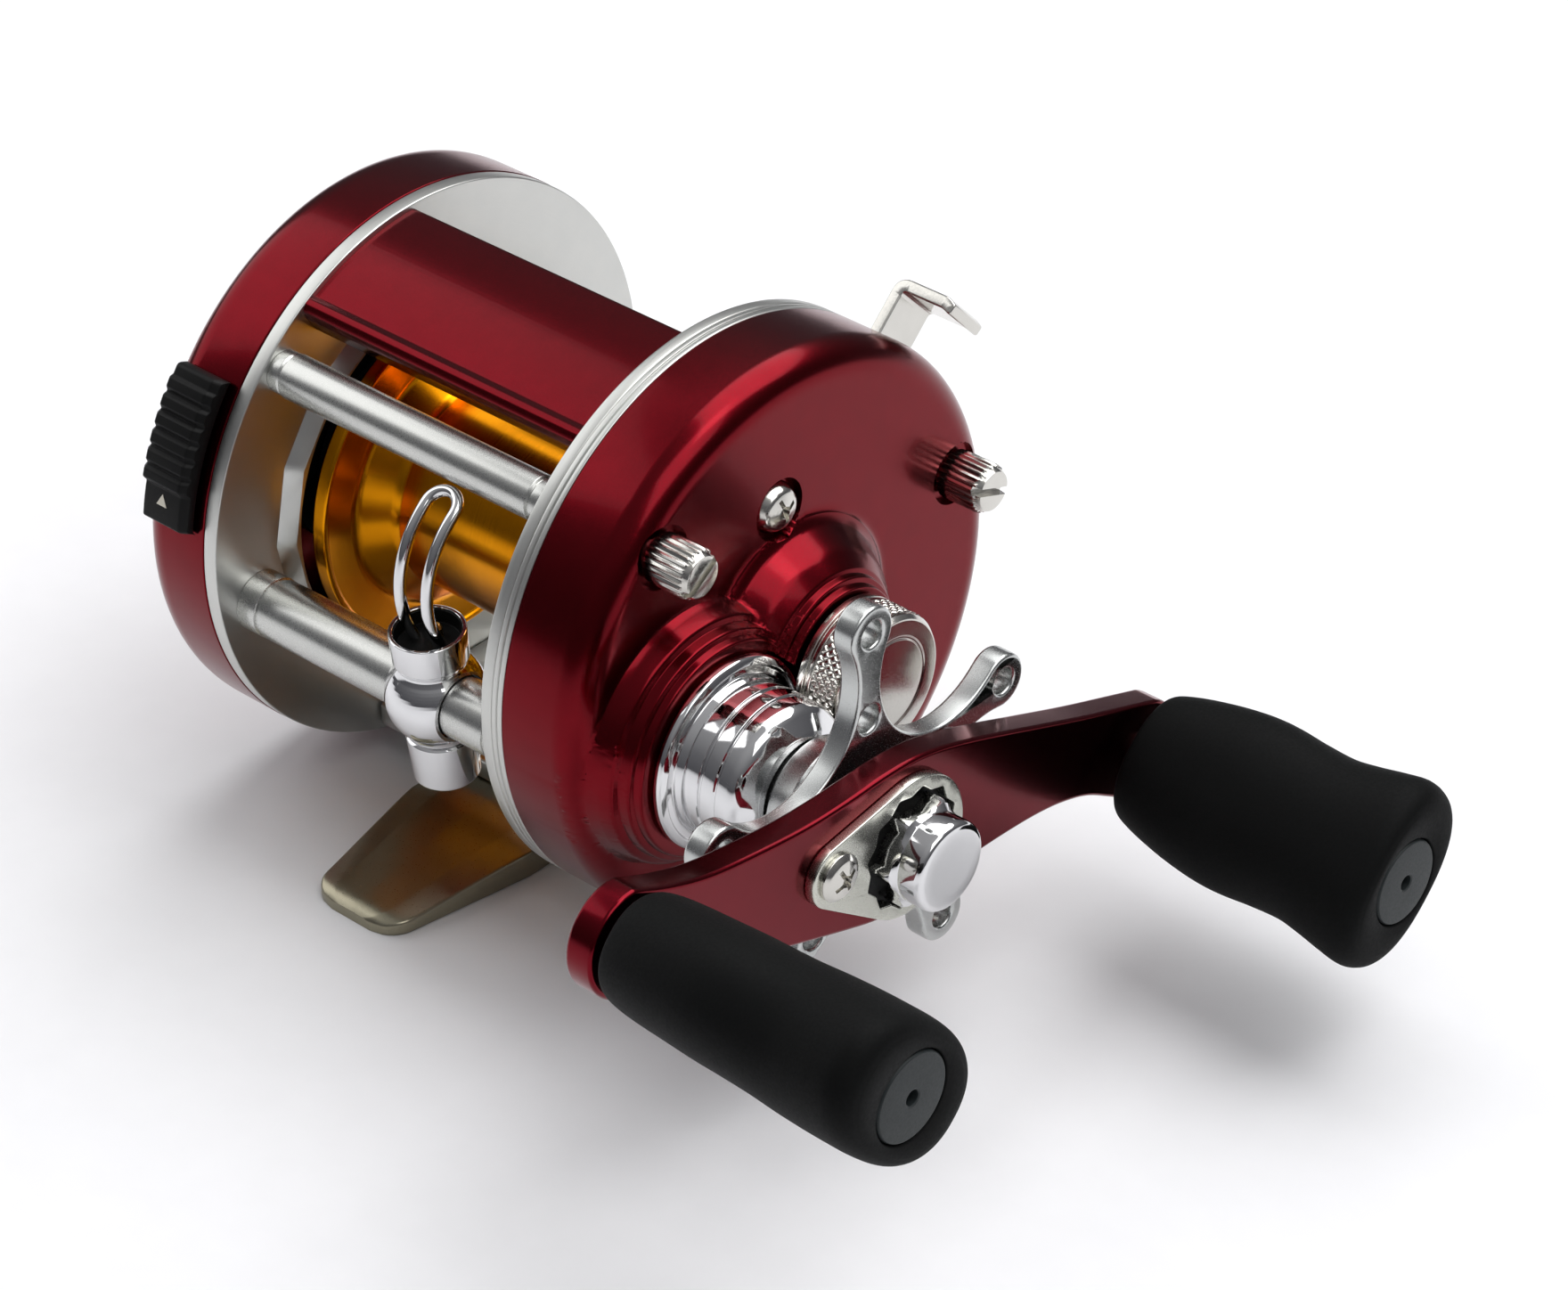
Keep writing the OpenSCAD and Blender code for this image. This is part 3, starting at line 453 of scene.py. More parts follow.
def frame_plates():
    """Both frame plates and the trim ring, each with small chamfers so that their joints show as lines."""
    edge = 0.16
    place = on_x(SPOOL)
    steps = 256
    palm = lathe("palm_side_plate", rounded([
        (X_PALM, BAY_R), (X_PALM, PLATE_R - 0.05), (-X_IN, PLATE_R - 0.05), (-X_IN, BAY_R)],
        edge, loop=True), place, steps)
    piece(palm, SATIN, "frame", "frame_plate_palm")
    gear = lathe("gear_side_plate", rounded([
        (X_IN, BAY_R), (X_IN, PLATE_R), (X_TRIM, PLATE_R), (X_TRIM, BAY_R)], edge, loop=True), place, steps)
    piece(gear, SATIN, "frame", "frame_plate_gear")
    middle = (X_TRIM + X_GEAR) / 2
    bore = 22.6
    trim = lathe("gear_side_trim", rounded([
        (X_TRIM, bore), (X_TRIM, PLATE_R), (middle - 0.12, PLATE_R, 0.05), (middle, PLATE_R - 0.2, 0.02),
        (middle + 0.12, PLATE_R, 0.05), (X_GEAR, PLATE_R), (X_GEAR, bore)], edge, loop=True), place, steps)
    piece(trim, SATIN, "frame", "trim_ring")


def facet_ring():
    """Raised collar of sixteen flats round the palm-side opening."""
    facets = 16
    steps = facets * 12
    top = -X_IN + 1.1
    half = math.pi / facets

    def flats(r):
        return lambda turn: r * math.cos(half) / np.cos((turn % (2 * half)) - half)

    place = on_x(SPOOL)
    rings = [place(ring(r, x, steps)) for x, r in (
        (-X_IN - 0.05, BAY_R + 0.02), (-X_IN - 0.05, flats(19.5)), (-X_IN + 0.05, flats(19.4)),
        (top - 0.2, flats(18.4)), (top, flats(18.1)), (top, BAY_R + 0.12), (top - 0.1, BAY_R + 0.02))]
    piece(loft("palm_side_collar", rings, loop=True), SATIN, "frame", sharp=20)


def hood():
    """Thumb bar: a curved sheet with a rolled ridge and a lip along its front edge."""
    outer = 26.2
    sheet = 1.5
    outline = arc((0, 0), outer, 92, 120.2, 28)
    outline += [polar(outer + 0.45, 121.4), polar(outer + 0.5, 122.6), polar(outer + 0.1, 123.9)]
    outline += [polar(outer - 0.8, 124.4), polar(outer - 2.9, 124.4), polar(outer - 3.0, 123.2)]
    outline += [polar(outer - sheet - 0.6, 122.6)]
    outline += arc((0, 0), outer - sheet, 121, 92, 24)
    soft = rounded([tuple(p) for p in outline], 0.35, steps=2, loop=True)
    bar = slab("thumb_bar", [soft], -X_IN, X_IN, 0.05, on_x(SPOOL), steps=1)
    piece(bar, RED, "frame", "thumb_hood", sharp=40)


def pillar(name, node):
    """Turned frame pillar with a fine groove and a shoulder at each end."""
    r = (high(node) - low(node))[1] / 2
    ends = [(0, 0), (0, r - 0.1), (1.1, r - 0.1, 0.05), (1.3, r - 0.25, 0.05), (1.5, r, 0.1)]
    start = [(-X_IN + w, *rest) for w, *rest in ends]
    finish = [(X_IN - w, *rest) for w, *rest in ends[::-1]]
    bar = lathe(name, rounded(start + finish, 0.1), on_x(axis_of(node)), 96)
    piece(bar, SATIN_ROD, "frame", node)


def bridge():
    """Plate under the spool that carries the foot."""
    a, b = low("foot_bridge"), high("foot_bridge")
    plan = rounded([(a[0], a[1]), (b[0], a[1]), (b[0], b[1]), (a[0], b[1])], 0.8, loop=True)
    holes = [circle((x, 0), 2.6, 24) for x in (-10.5, 10.5)]
    plate = slab("foot_bridge_plate", [plan] + holes, a[2], b[2], 0.3, on_z((0, 0, 0)))
    piece(plate, SATIN, "frame", "foot_bridge")


def foot():
    """Pressed steel foot: crowned, thinner and narrower towards its round-cornered tips."""
    mid, half, thick = high("reel_foot")
    tip, thin = 5.0, 1.6
    corner = 2.4
    # the middle of the foot keeps its full width and thickness over this distance each way
    flat = 13
    rings = []
    rows = np.concatenate([
        np.linspace(-half, -half + corner, 9), np.linspace(-half + corner, half - corner, 90)[1:-1],
        np.linspace(half - corner, half, 9)])
    for y in rows:
        s = max(0.0, (abs(y) - flat) / (half - flat))
        w = mid + (tip - mid) * s
        over = max(0.0, abs(y) - (half - corner)) / corner
        w -= corner * (1 - math.sqrt(max(0.0, 1 - over ** 2)))
        t = thick + (thin - thick) * (s * s * (3 - 2 * s) * 0.5 + s * 0.5)
        t *= 1 - 0.35 * over ** 4
        edge = min(0.35, t / 3)
        side = rounded([
            (-w, 0), (w, 0), (w, t * 0.8), (w * 0.6, t * 0.96, 2), (0, t, 6), (-w * 0.6, t * 0.96, 2),
            (-w, t * 0.8)], edge, steps=3, loop=True)
        rings.append(np.array([(p[0], y, p[1]) for p in side]))
    piece(loft("foot_plate", rings), FOOT, "frame", "reel_foot")
    heads = []
    for x in (-4.5, 4.5):
        for y in (-5, 5):
            heads.append(lathe("rivet", rounded([
                (0.15, 0), (0.15, 1.2), (thick + 2.1, 1.2), (thick + 2.2, 1.9, 0.1), (thick + 2.7, 1.5, 0.4),
                (thick + 2.95, 0)], 0.1), on_z((x, y, 0)), 40))
    piece(join("foot_rivet_heads", heads), STEEL, "frame", "foot_rivets")


# ---- Covers ----

def sector_cutter(x0, x1, r0, r1, a0, a1):
    """Block between two radii and two directions about the spool axis."""
    outline = arc((0, 0), r1, a0, a1, 24) + arc((0, 0), r0, a1, a0, 24)
    return slab("cutter", [outline], x0, x1, 0.01, on_x(SPOOL), steps=1)


def palm_cover():
    """Shallow red cup with a rounded rim, a slot for the brake slider and a shallow turned recess."""
    x0, x1 = X_PALM, low("palm_cup")[0]
    r = PLATE_R
    profile = rounded([
        (x1 + 0.25, 0), (x1 + 0.25, 14.6, 0.2), (x1, 15.1, 0.3), (x1, r, FILLET), (x0 - 0.02, r, 0.12),
        (x0 - 0.02, r - WALL), (x1 + WALL, r - WALL, 1.6), (x1 + WALL, 0)], 0.1, steps=10)
    cover = lathe("palm_side_cover", profile, on_x(SPOOL), 288)
    half_slot = 13
    cut(cover, sector_cutter(-22.8, -20, r - 4, r + 1, SLIDER_DIR - half_slot, SLIDER_DIR + half_slot))
    piece(cover, RED, "frame", "palm_cup")


def smooth_max(a, b, k):
    """The larger of two heights, blended over a band of k."""
    h = np.maximum(k - np.abs(a - b), 0) / k
    return np.maximum(a, b) + h * h * k / 4


def boss_height(profile, distance):
    """Height of a stepped boss over the face; the profile runs outwards from its axis."""
    r, h = np.array(profile).T
    return np.interp(distance, r, h)


# Bosses on the gear-side cover, as (radius, height over the face), with a small step for each turned ring
SPOOL_BOSS = rounded([
    (0, 5.7), (6.9, 5.7, 0.2), (7.0, 5.0, 0.05), (7.5, 4.95, 0.25), (7.6, 4.3, 0.08), (8.0, 4.15, 0.6),
    (9.3, 2.9, 3), (10.6, 0.6, 1.5), (11.5, -0.25), (12, -4)], 0.1, steps=5)
HANDLE_BOSS = rounded([
    (0, 4.0), (9.9, 4.0, 0.3), (10.05, 3.3, 0.05), (10.6, 3.2, 0.3), (10.75, 2.2, 0.1), (11.4, 2.0, 0.5),
    (11.8, 0.8, 0.4), (12.1, -0.4), (12.4, -5)], 0.1, steps=4)


def cover_height(points):
    """Distance along X of the gear-side cover's outer face at points of the side view."""
    d = np.linalg.norm(points - SPOOL, axis=1)
    over = np.clip(d - (PLATE_R - FILLET), 0, FILLET)
    face = X_FACE - FILLET + np.sqrt(FILLET ** 2 - over ** 2)
    spool_boss = X_FACE + boss_height(SPOOL_BOSS, d)
    from_handle = np.linalg.norm(points - HANDLE, axis=1)
    handle_boss = X_FACE + boss_height(HANDLE_BOSS, from_handle)
    # the housing's bead stands in a round notch in the spool boss
    seated = from_handle < HOUSING_SEAT_R
    spool_boss = np.where(seated, np.minimum(spool_boss, X_BOSS), spool_boss)
    height = smooth_max(smooth_max(face, spool_boss, 0.9), handle_boss, 0.7)
    height = np.where(seated, X_BOSS, height)
    wall_slope = 30
    for centre, r, depth in [(c, 3.0, 0.8) for c in SCREWS] + [(COVER_SCREW, 2.95, 0.9)]:
        near = np.linalg.norm(points - centre, axis=1)
        pocket = X_FACE - depth + wall_slope * np.maximum(near - r + 0.12, 0)
        height = -smooth_max(-height, -pocket, 0.5)
    return height


def gear_cover():
    """Gear-side cup: its face is a height field on rings of points round the rim, bosses and pockets."""
    rim = PLATE_R - FILLET
    rings = [(SPOOL, rim + FILLET * math.sin(math.radians(a)), 320)
             for a in (90, 83, 76, 68, 60, 51, 42, 32, 21, 10, 0)]
    rings += [(SPOOL, r, 220) for r, _ in SPOOL_BOSS if 0.5 < r < 11.7]
    rings += [(SPOOL, r, 220) for r in (11.0, 11.3, 12.0, 12.4)]
    rings += [(HANDLE, r, 260) for r, _ in HANDLE_BOSS if 0.5 < r < 12.4]
    rings += [(HANDLE, r, 260) for r in (9.06, 9.14, 12.5, 12.8, 13.1)]
    pockets = SCREWS + [COVER_SCREW]
    rings += [(c, r, 72) for c in pockets for r in (2.7, 2.82, 2.88, 2.92, 2.97, 3.03, 3.1, 3.2, 3.4, 3.7)]
    points = [np.array([c + polar(r, 360 * k / n) for k in range(n)]) for c, r, n in rings]
    pitch = 0.55
    cells = np.arange(-PLATE_R, PLATE_R, pitch)
    grid = np.array([(x + (j % 2) * pitch / 2, y) for j, y in enumerate(cells) for x in cells]) + SPOOL
    clear = [(SPOOL, 12.5), (HANDLE, 13.2)] + [(c, 3.9) for c in pockets]
    for centre, r in clear:
        grid = grid[np.linalg.norm(grid - centre, axis=1) > r]
    grid = grid[np.linalg.norm(grid - SPOOL, axis=1) < rim - 0.3]
    points = np.concatenate(points + [grid])
    points = points[np.linalg.norm(points - SPOOL, axis=1) < PLATE_R + 1e-6]
    made = delaunay_2d_cdt([tuple(p) for p in points], [], [], 0, 1e-5)
    flat = np.array([tuple(p) for p in made[0]])
    faces = [list(f) for f in made[2]]
    verts = np.column_stack([cover_height(flat), flat])
    # the wall below the face starts from the outermost ring, taken in order of angle
    away = flat - SPOOL
    on_rim = np.where(np.linalg.norm(away, axis=1) > PLATE_R - 1e-3)[0]
    on_rim = on_rim[np.argsort(np.arctan2(away[on_rim, 1], away[on_rim, 0]))]
    unit = away[on_rim] / np.linalg.norm(away[on_rim], axis=1, keepdims=True)
    wall = [(X_GEAR + 0.12, PLATE_R), (X_GEAR + 0.02, PLATE_R - 0.12), (X_GEAR + 0.02, PLATE_R - WALL),
            (X_FACE - FILLET, PLATE_R - WALL), (X_FACE - 1.9, PLATE_R - 1.7), (X_FACE - 1.5, PLATE_R - 3.2)]
    previous = list(on_rim)
    for x, r in wall:
        base = len(verts)
        verts = np.concatenate([verts, np.column_stack([np.full(len(unit), x), SPOOL + unit * r])])
        current = list(range(base, base + len(unit)))
        for k in range(len(unit)):
            m = (k + 1) % len(unit)
            faces.append([int(previous[k]), int(previous[m]), current[m], current[k]])
        previous = current
    faces.append(previous)
    cover = solid("gear_side_cover", verts, faces)
    cut(cover, sector_cutter(20.3, 22.1, PLATE_R - 4, PLATE_R + 1, *LEVER_SLOT))
    piece(cover, RED, "frame", "gear_cup", sharp=50)


def thumb_screws():
    """Three knurled screws with a wide slot."""
    ridges = 26
    slot_turns = (35, -20, 60)
    x1 = high("thumb_screws")[0]
    x0 = X_FACE - 0.8

    def knurl(r, depth):
        return lambda turn: r - depth * (0.5 + 0.5 * np.cos(ridges * turn)) ** 0.6

    heads = []
    for centre, turn in zip(SCREWS, slot_turns):
        head = lathe("screw_head", [
            (x0, 0), (x0, 1.55), (x0 + 0.35, 1.6), (x0 + 0.45, knurl(2.2, 0.08)),
            (x0 + 0.7, knurl(2.3, 0.17)), (x1 - 0.9, knurl(2.3, 0.17)), (x1 - 0.62, knurl(2.2, 0.1)),
            (x1 - 0.5, 2.03), (x1 - 0.25, 1.96), (x1 - 0.06, 1.85), (x1, 1.68), (x1, 0)],
            on_x(centre), ridges * 10)
        cut(head, box_solid("cutter", (6, 0.72, 2), (0, 0, x1 + 0.1), on_x(centre, turn)))
        heads.append(head)
    piece(join("thumb_screw_heads", heads), STEEL, "frame", "thumb_screws")


def cross_screw(name, node, head_r, dome, floor, centre, angle, bite, body):
    """Pan-head screw with a tapered cross recess."""
    top = high(node)[0]
    head = lathe(name, rounded([
        (floor, 0), (floor, head_r, 0.05), (floor + 0.35, head_r, 0.15), (top - dome, head_r * 0.78, 0.7),
        (top - 0.02, head_r * 0.25, 1), (top, 0)], 0.1, steps=6), on_x(centre), 72)
    for turn in (0, 90):
        cut(head, box_solid("cutter", (bite, 0.42, 2), (0, 0, top + 0.35), on_x(centre, angle + turn)))
    middle = [(top - 1.1, 0), (top - 1.0, 0.28), (top + 0.5, 0.75), (top + 0.5, 0)]
    cut(head, lathe("cutter", middle, on_x(centre), 8))
    piece(head, STEEL, body, node)


def housing():
    """Chrome housing: rolled bead flange, hollow waist, grooved drum and domed end."""
    x0, x1 = X_BOSS, high("shaft_housing")[0]
    bead, drum, bore = 8.85, 7.1, 4.7
    profile = rounded([
        (x0, bore), (x0, bead - 0.5, 0.3), (x0 + 0.35, bead, 0.3), (x0 + 1.05, bead, 0.4),
        (x0 + 1.4, bead - 0.75, 0.3), (x0 + 1.0, drum + 0.9, 0.3), (x0 + 1.15, drum + 0.25, 0.25),
        (x0 + 1.9, drum, 0.25), (x0 + 3.5, drum, 0.06), (x0 + 3.62, drum - 0.22, 0.03),
        (x0 + 3.8, drum - 0.22, 0.03), (x0 + 3.92, drum, 0.12), (x0 + 5.2, drum, 0.1),
        (x0 + 5.32, drum - 0.16, 0.03), (x0 + 5.44, drum - 0.16, 0.03), (x0 + 5.56, drum - 0.04, 0.1),
        (x0 + 7.3, drum - 0.05, 1.6), (x1 - 0.3, bore + 0.5, 0.8), (x1, bore, 0.05), (x1 - 1, bore - 0.02)],
        0.1, steps=6, loop=True)
    piece(lathe("drive_housing", profile, on_x(HANDLE), 192), CHROME, "frame", "shaft_housing")


def cast_cap():
    """Cast control cap: base rings, diamond-knurled band, chamfer and a flat end with a shallow ring."""
    x0, x1 = low("cast_control_cap")[0], high("cast_control_cap")[0]
    r = (high("cast_control_cap") - low("cast_control_cap"))[1] / 2
    place = on_x(SPOOL)
    steps = 480
    rows = 26
    # diamonds round the knurl, the length of one along the axis, and its height
    diamonds, diamond, depth = 44, 0.9, 0.2
    k0, k1 = x0 + 1.6, x1 - 0.75
    turn = np.linspace(0, 2 * np.pi, steps, endpoint=False)
    rings = [place([[0, 0, x0]])]
    base = rounded([
        (x0, r - 0.45), (x0, r - 0.15), (x0 + 0.15, r), (x0 + 0.75, r), (x0 + 0.85, r - 0.25),
        (x0 + 0.97, r - 0.25), (x0 + 1.05, r - 0.02), (x0 + 1.45, r - 0.02), (k0 - 0.02, r - 0.2)],
        0.05, steps=2)
    rings += [place(ring(q, w, steps)) for w, q in base]
    for w in np.linspace(k0, k1, rows + 1):
        along = 2 * np.pi * (w - k0) / diamond
        one_way = np.abs(np.sin((diamonds * turn + along) / 2))
        other_way = np.abs(np.sin((diamonds * turn - along) / 2))
        rise = depth * np.minimum(1, 1.6 * np.minimum(one_way, other_way))
        rings.append(place(ring(lambda t, rise=rise: r - depth + rise, w, steps)))
    face = rounded([
        (k1 + 0.02, r - 0.25), (k1 + 0.1, r - 0.12), (k1 + 0.3, r - 0.12), (x1 - 0.05, r - 0.42),
        (x1, r - 0.55), (x1, 4.6, 0.1), (x1 - 0.12, 4.5, 0.1), (x1 - 0.12, 4.3, 0.1), (x1 - 0.02, 4.2, 0.1),
        (x1 - 0.02, 0)], 0.06, steps=3)
    rings += [place(ring(q, w, steps)) for w, q in face[:-1]]
    rings.append(place([[0, 0, face[-1][0]]]))
    piece(loft("cast_control_knob", rings), STEEL, "cast_control", "cast_control_cap", sharp=45)


# ---- Level wind ----

def leaning(x):
    """Maps local points onto the tube's axis at x, with their third axis leaning like the carriage."""
    c, s = math.cos(math.radians(CARRIAGE_TILT)), math.sin(math.radians(CARRIAGE_TILT))
    turn = np.array([[1, 0, 0], [0, c, -s], [0, s, c]])
    return lambda points: np.asarray(points, float) @ turn.T + np.array([x, WORM[0], WORM[1]])


def level_wind():
    """Tube between the frame plates, with a collar at each end and a slot underneath for the pawl."""
    r = (high("levelwind_tube") - low("levelwind_tube"))[1] / 2
    bore = r - 0.65
    x = X_IN
    ends = [(0, r + 0.05), (2.1, r + 0.05, 0.05), (2.2, r - 0.18, 0.02), (2.36, r - 0.18, 0.02),
            (2.46, r, 0.05)]
    outline = [(-x + w, *rest) for w, *rest in ends] + [(x - w, *rest) for w, *rest in ends[::-1]]
    outline += [(x, bore), (-x, bore)]
    tube = lathe("line_guide_tube", rounded(outline, 0.08, loop=True), on_x(WORM), 96)
    slot = box_solid("cutter", (27.2, 1.8, 3), (0, 0, -r), leaning(0))
    piece(cut(tube, slot), SATIN_ROD, "frame", "levelwind_tube")


def carriage():
    """Chrome ball with flat sides on the tube, a cup for the guide wires and a cap below."""
    x = X_CARRIAGE
    place = leaning(x)
    ball, cup, top = 4.5, 3.4, 7.05
    ball_arc = [(ball * math.sin(math.radians(a)), ball * math.cos(math.radians(a)))
                for a in np.linspace(-45, 42, 24)]
    below = [(-3.8, 2.5), (-3.8, 3.0, 0.1), (-3.4, 3.1, 0.2)]
    above = [(3.55, 3.0, 0.35), (4.2, cup - 0.05, 0.3), (top, cup, 0.12), (top, cup - 0.4, 0.12),
             (5.5, cup - 0.5, 0.2), (5.45, 0)]
    profile = [(-6.5, 0), (-6.5, 2.5)] + rounded(below + ball_arc + above, 0.05, steps=3)
    body = lathe("carriage_ball", profile, place, 128)
    sides = [box_solid("cutter", (3, 12, 7), (s * 5.3, 0, 0), place) for s in (-1, 1)]
    hole = lathe("cutter", [(x - 8, 0), (x - 8, 2.95), (x + 8, 2.95), (x + 8, 0)], on_x(WORM), 64)
    recess = []
    for s in (-1, 1):
        ends = [(x + s * 3.1, 0), (x + s * 3.1, 3.35), (x + s * 5, 3.35), (x + s * 5, 0)]
        recess.append(lathe("cutter", ends, on_x(WORM), 64))
    piece(cut(body, *sides, hole, *recess), CHROME, "line_carriage", "carriage")
    cup_floor = lathe("carriage_cup_liner", rounded([
        (5.47, 0), (5.47, cup - 0.52), (6.8, cup - 0.42), (6.8, cup - 0.5), (5.6, cup - 0.62, 0.1), (5.6, 0)],
        0.03), place, 64)
    piece(cup_floor, BLACK, "line_carriage")
    pin_shape = rounded([(0, 0), (0, 0.62), (1.3, 0.62, 0.1), (1.65, 0.4, 0.2), (1.7, 0)], 0.1)
    in_cup = on_z((0, 0.9, 5.3))
    pin = lathe("carriage_pin", pin_shape, lambda points: place(in_cup(points)), 32)
    piece(pin, BRASS, "line_carriage")
    cap = lathe("carriage_lower_cap", rounded([
        (-8.65, 0), (-8.65, 2.95, 0.3), (-4.1, 3.15, 0.12), (-3.9, 2.9), (-3.9, 0)], 0.1, steps=5), place, 96)
    piece(cap, CHROME, "line_carriage", "pawl_cap")


def guide_wires():
    """One bent wire: two legs, two bows and the turn that joins them at the top."""
    wire_r = 0.55
    half = 1.6
    bow_r = 9.1
    bow = (8.05, 10.07)
    top_a, foot_a = 121, 200
    foot = np.array(bow) + polar(bow_r, foot_a)
    leg = [tuple(foot - d * polar(1, foot_a + 90)) for d in (-2.1, -1.4, -0.7)]
    up = leg + [tuple(p) for p in arc(bow, bow_r, foot_a, top_a, 48)]
    top = np.array(bow) + polar(bow_r, top_a)
    lean = math.radians(top_a - 90)
    bend = []
    for t in np.linspace(0, math.pi, 25)[1:-1]:
        out = half * math.sin(t)
        bend.append((-half * math.cos(t), top[0] + out * math.cos(lean), top[1] + out * math.sin(lean)))
    path = [(-half, y, z) for y, z in up] + bend + [(half, y, z) for y, z in up[::-1]]
    wire = sweep("guide_wire", leaning(X_CARRIAGE)(path), wire_r, 24)
    piece(wire, CHROME, "line_carriage", "line_guide", sharp=60)


# ---- Spool ----

def spool():
    """Gold spool: thin flanges with rounded rims, turned rings and hollowed ends."""
    half = (high("spool") - low("spool"))[0] / 2
    rf = (high("spool") - low("spool"))[1] / 2
    arbor, flange = 10, 1.3
    right = [
        (0, arbor), (half - flange - 2.6, arbor, 1.5), (half - flange, arbor + 2.6, 1.5),
        (half - flange, 15.9, 0.2), (half - flange - 0.25, 16.1, 0.1), (half - flange - 0.25, rf - 0.2, 0.25),
        (half - 0.2, rf, 0.3), (half, rf - 0.5, 0.3), (half, 15.6, 0.1), (half - 0.35, 15.2, 0.1),
        (half - 0.35, 9.2, 0.2), (half - 3.4, 8.6, 0.3), (half - 3.4, 4.6, 0.3), (half, 4.4, 0.1),
        (half, 1.55)]
    left = [(-p[0], *p[1:]) for p in right[:0:-1]]
    profile = rounded(left + right, 0.1, steps=4, loop=True)
    piece(lathe("spool_body", profile, on_x(SPOOL), 224), GOLD, "spool", "spool")


# ---- Controls ----

def clutch_lever():
    """Bent strip: out of the slot, round a bend and along the cover, to a slightly drooping end."""
    strip, t = 5.4, 1.15
    x0, end = low("clutch_lever")[0], high("clutch_lever")[0]
    start, reach = 21, 32
    outer = [(x0, start), (x0, reach - 0.1, 1.5), (end - 0.9, reach - 0.1, 2), (end, reach - 0.55)]
    inner = [(end - 0.1, reach - 0.55 - t * 0.9), (end - 1.1, reach - 0.1 - t, 1.4),
             (x0 + t, reach - 0.1 - t, 0.5), (x0 + t, start)]
    side = rounded(outer + inner, 0.3, steps=6, loop=True)
    # the strip's outline lies in the plane of X and the lever's direction, and is drawn out across it
    c, s = math.cos(math.radians(LEVER_DIR)), math.sin(math.radians(LEVER_DIR))

    def place(points):
        x, r, across = np.asarray(points, float).T
        return np.stack([x, SPOOL[0] + r * c - across * s, SPOOL[1] + r * s + across * c], 1)

    strip_piece = slab("clutch_lever_strip", [side], -strip / 2, strip / 2, 0.18, place)
    piece(strip_piece, STEEL, "clutch", "clutch_lever", flat=True)


def brake_slider():
    """Black slider that follows the cover's curve, ribbed on its upper part, with a small pointer mark."""
    x0, x1 = low("brake_slider")[0], high("brake_slider")[0]
    base = PLATE_R + 0.3
    half_sweep = 15
    a0, a1 = SLIDER_DIR - half_sweep, SLIDER_DIR + half_sweep
    w0, w1 = x0 + 0.05, x1 - 0.05
    steps = 220
    ribs = 6
    pitch = 3.3
    first = a0 + 2.6
    rows = []
    for a in np.linspace(a0, a1, steps + 1):
        top = base + 1.45
        # the ribbed part stands higher than the end with the mark, with a short slope between them
        raised = min(1.0, (a - a0) / 1.2, max(0.0, (a1 - 7.5 - a) / 1.2))
        top += 0.25 * max(0.0, raised)
        phase = (a - first) / pitch
        if 0 <= phase < ribs:
            inside = phase % 1.0
            top += 0.3 * min(1.0, max(0.0, 1.8 * math.sin(math.pi * inside) - 0.35))
        drop = 1.1 * max(0.0, 1 - (a1 - a) / 1.3) ** 2 + 0.8 * max(0.0, 1 - (a - a0) / 0.9) ** 2
        top -= drop
        shape = rounded([
            (w0, base), (w1, base), (w1, top - 0.6, 0.15), (w1 - 0.55, top), (w0 + 0.55, top),
            (w0, top - 0.6, 0.15)], 0.3, steps=3, loop=True)
        rows.append(np.array([(w, *(SPOOL + polar(r, a))) for w, r in shape]))
    piece(loft("brake_slider_button", rows), BLACK, "brake_control", "brake_slider", sharp=35)
    middle = (x0 + x1) / 2
    size = 0.62
    outline = [(middle + size, a1 - 4.4), (middle - size, a1 - 4.4), (middle, a1 - 6.6)]
    rings = [np.array([(w, *(SPOOL + polar(base + lift, a))) for w, a in outline]) for lift in (1.2, 1.5)]
    piece(loft("brake_slider_mark", rings), NYLON, "brake_control")


# ---- Crank ----

def spline(knots, steps):
    """Smooth curve through knots by Catmull-Rom steps."""
    k = np.array(knots, float)
    k = np.vstack([2 * k[0] - k[1], k, 2 * k[-1] - k[-2]])
    out = []
    for i in range(1, len(k) - 2):
        for t in np.linspace(0, 1, steps, endpoint=False):
            square = 2 * k[i - 1] - 5 * k[i] + 4 * k[i + 1] - k[i + 2]
            cube = 3 * k[i] - k[i - 1] - 3 * k[i + 1] + k[i + 2]
            out.append(0.5 * ((2 * k[i]) + (k[i + 1] - k[i - 1]) * t + square * t ** 2 + cube * t ** 3))
    out.append(k[-2])
    return out


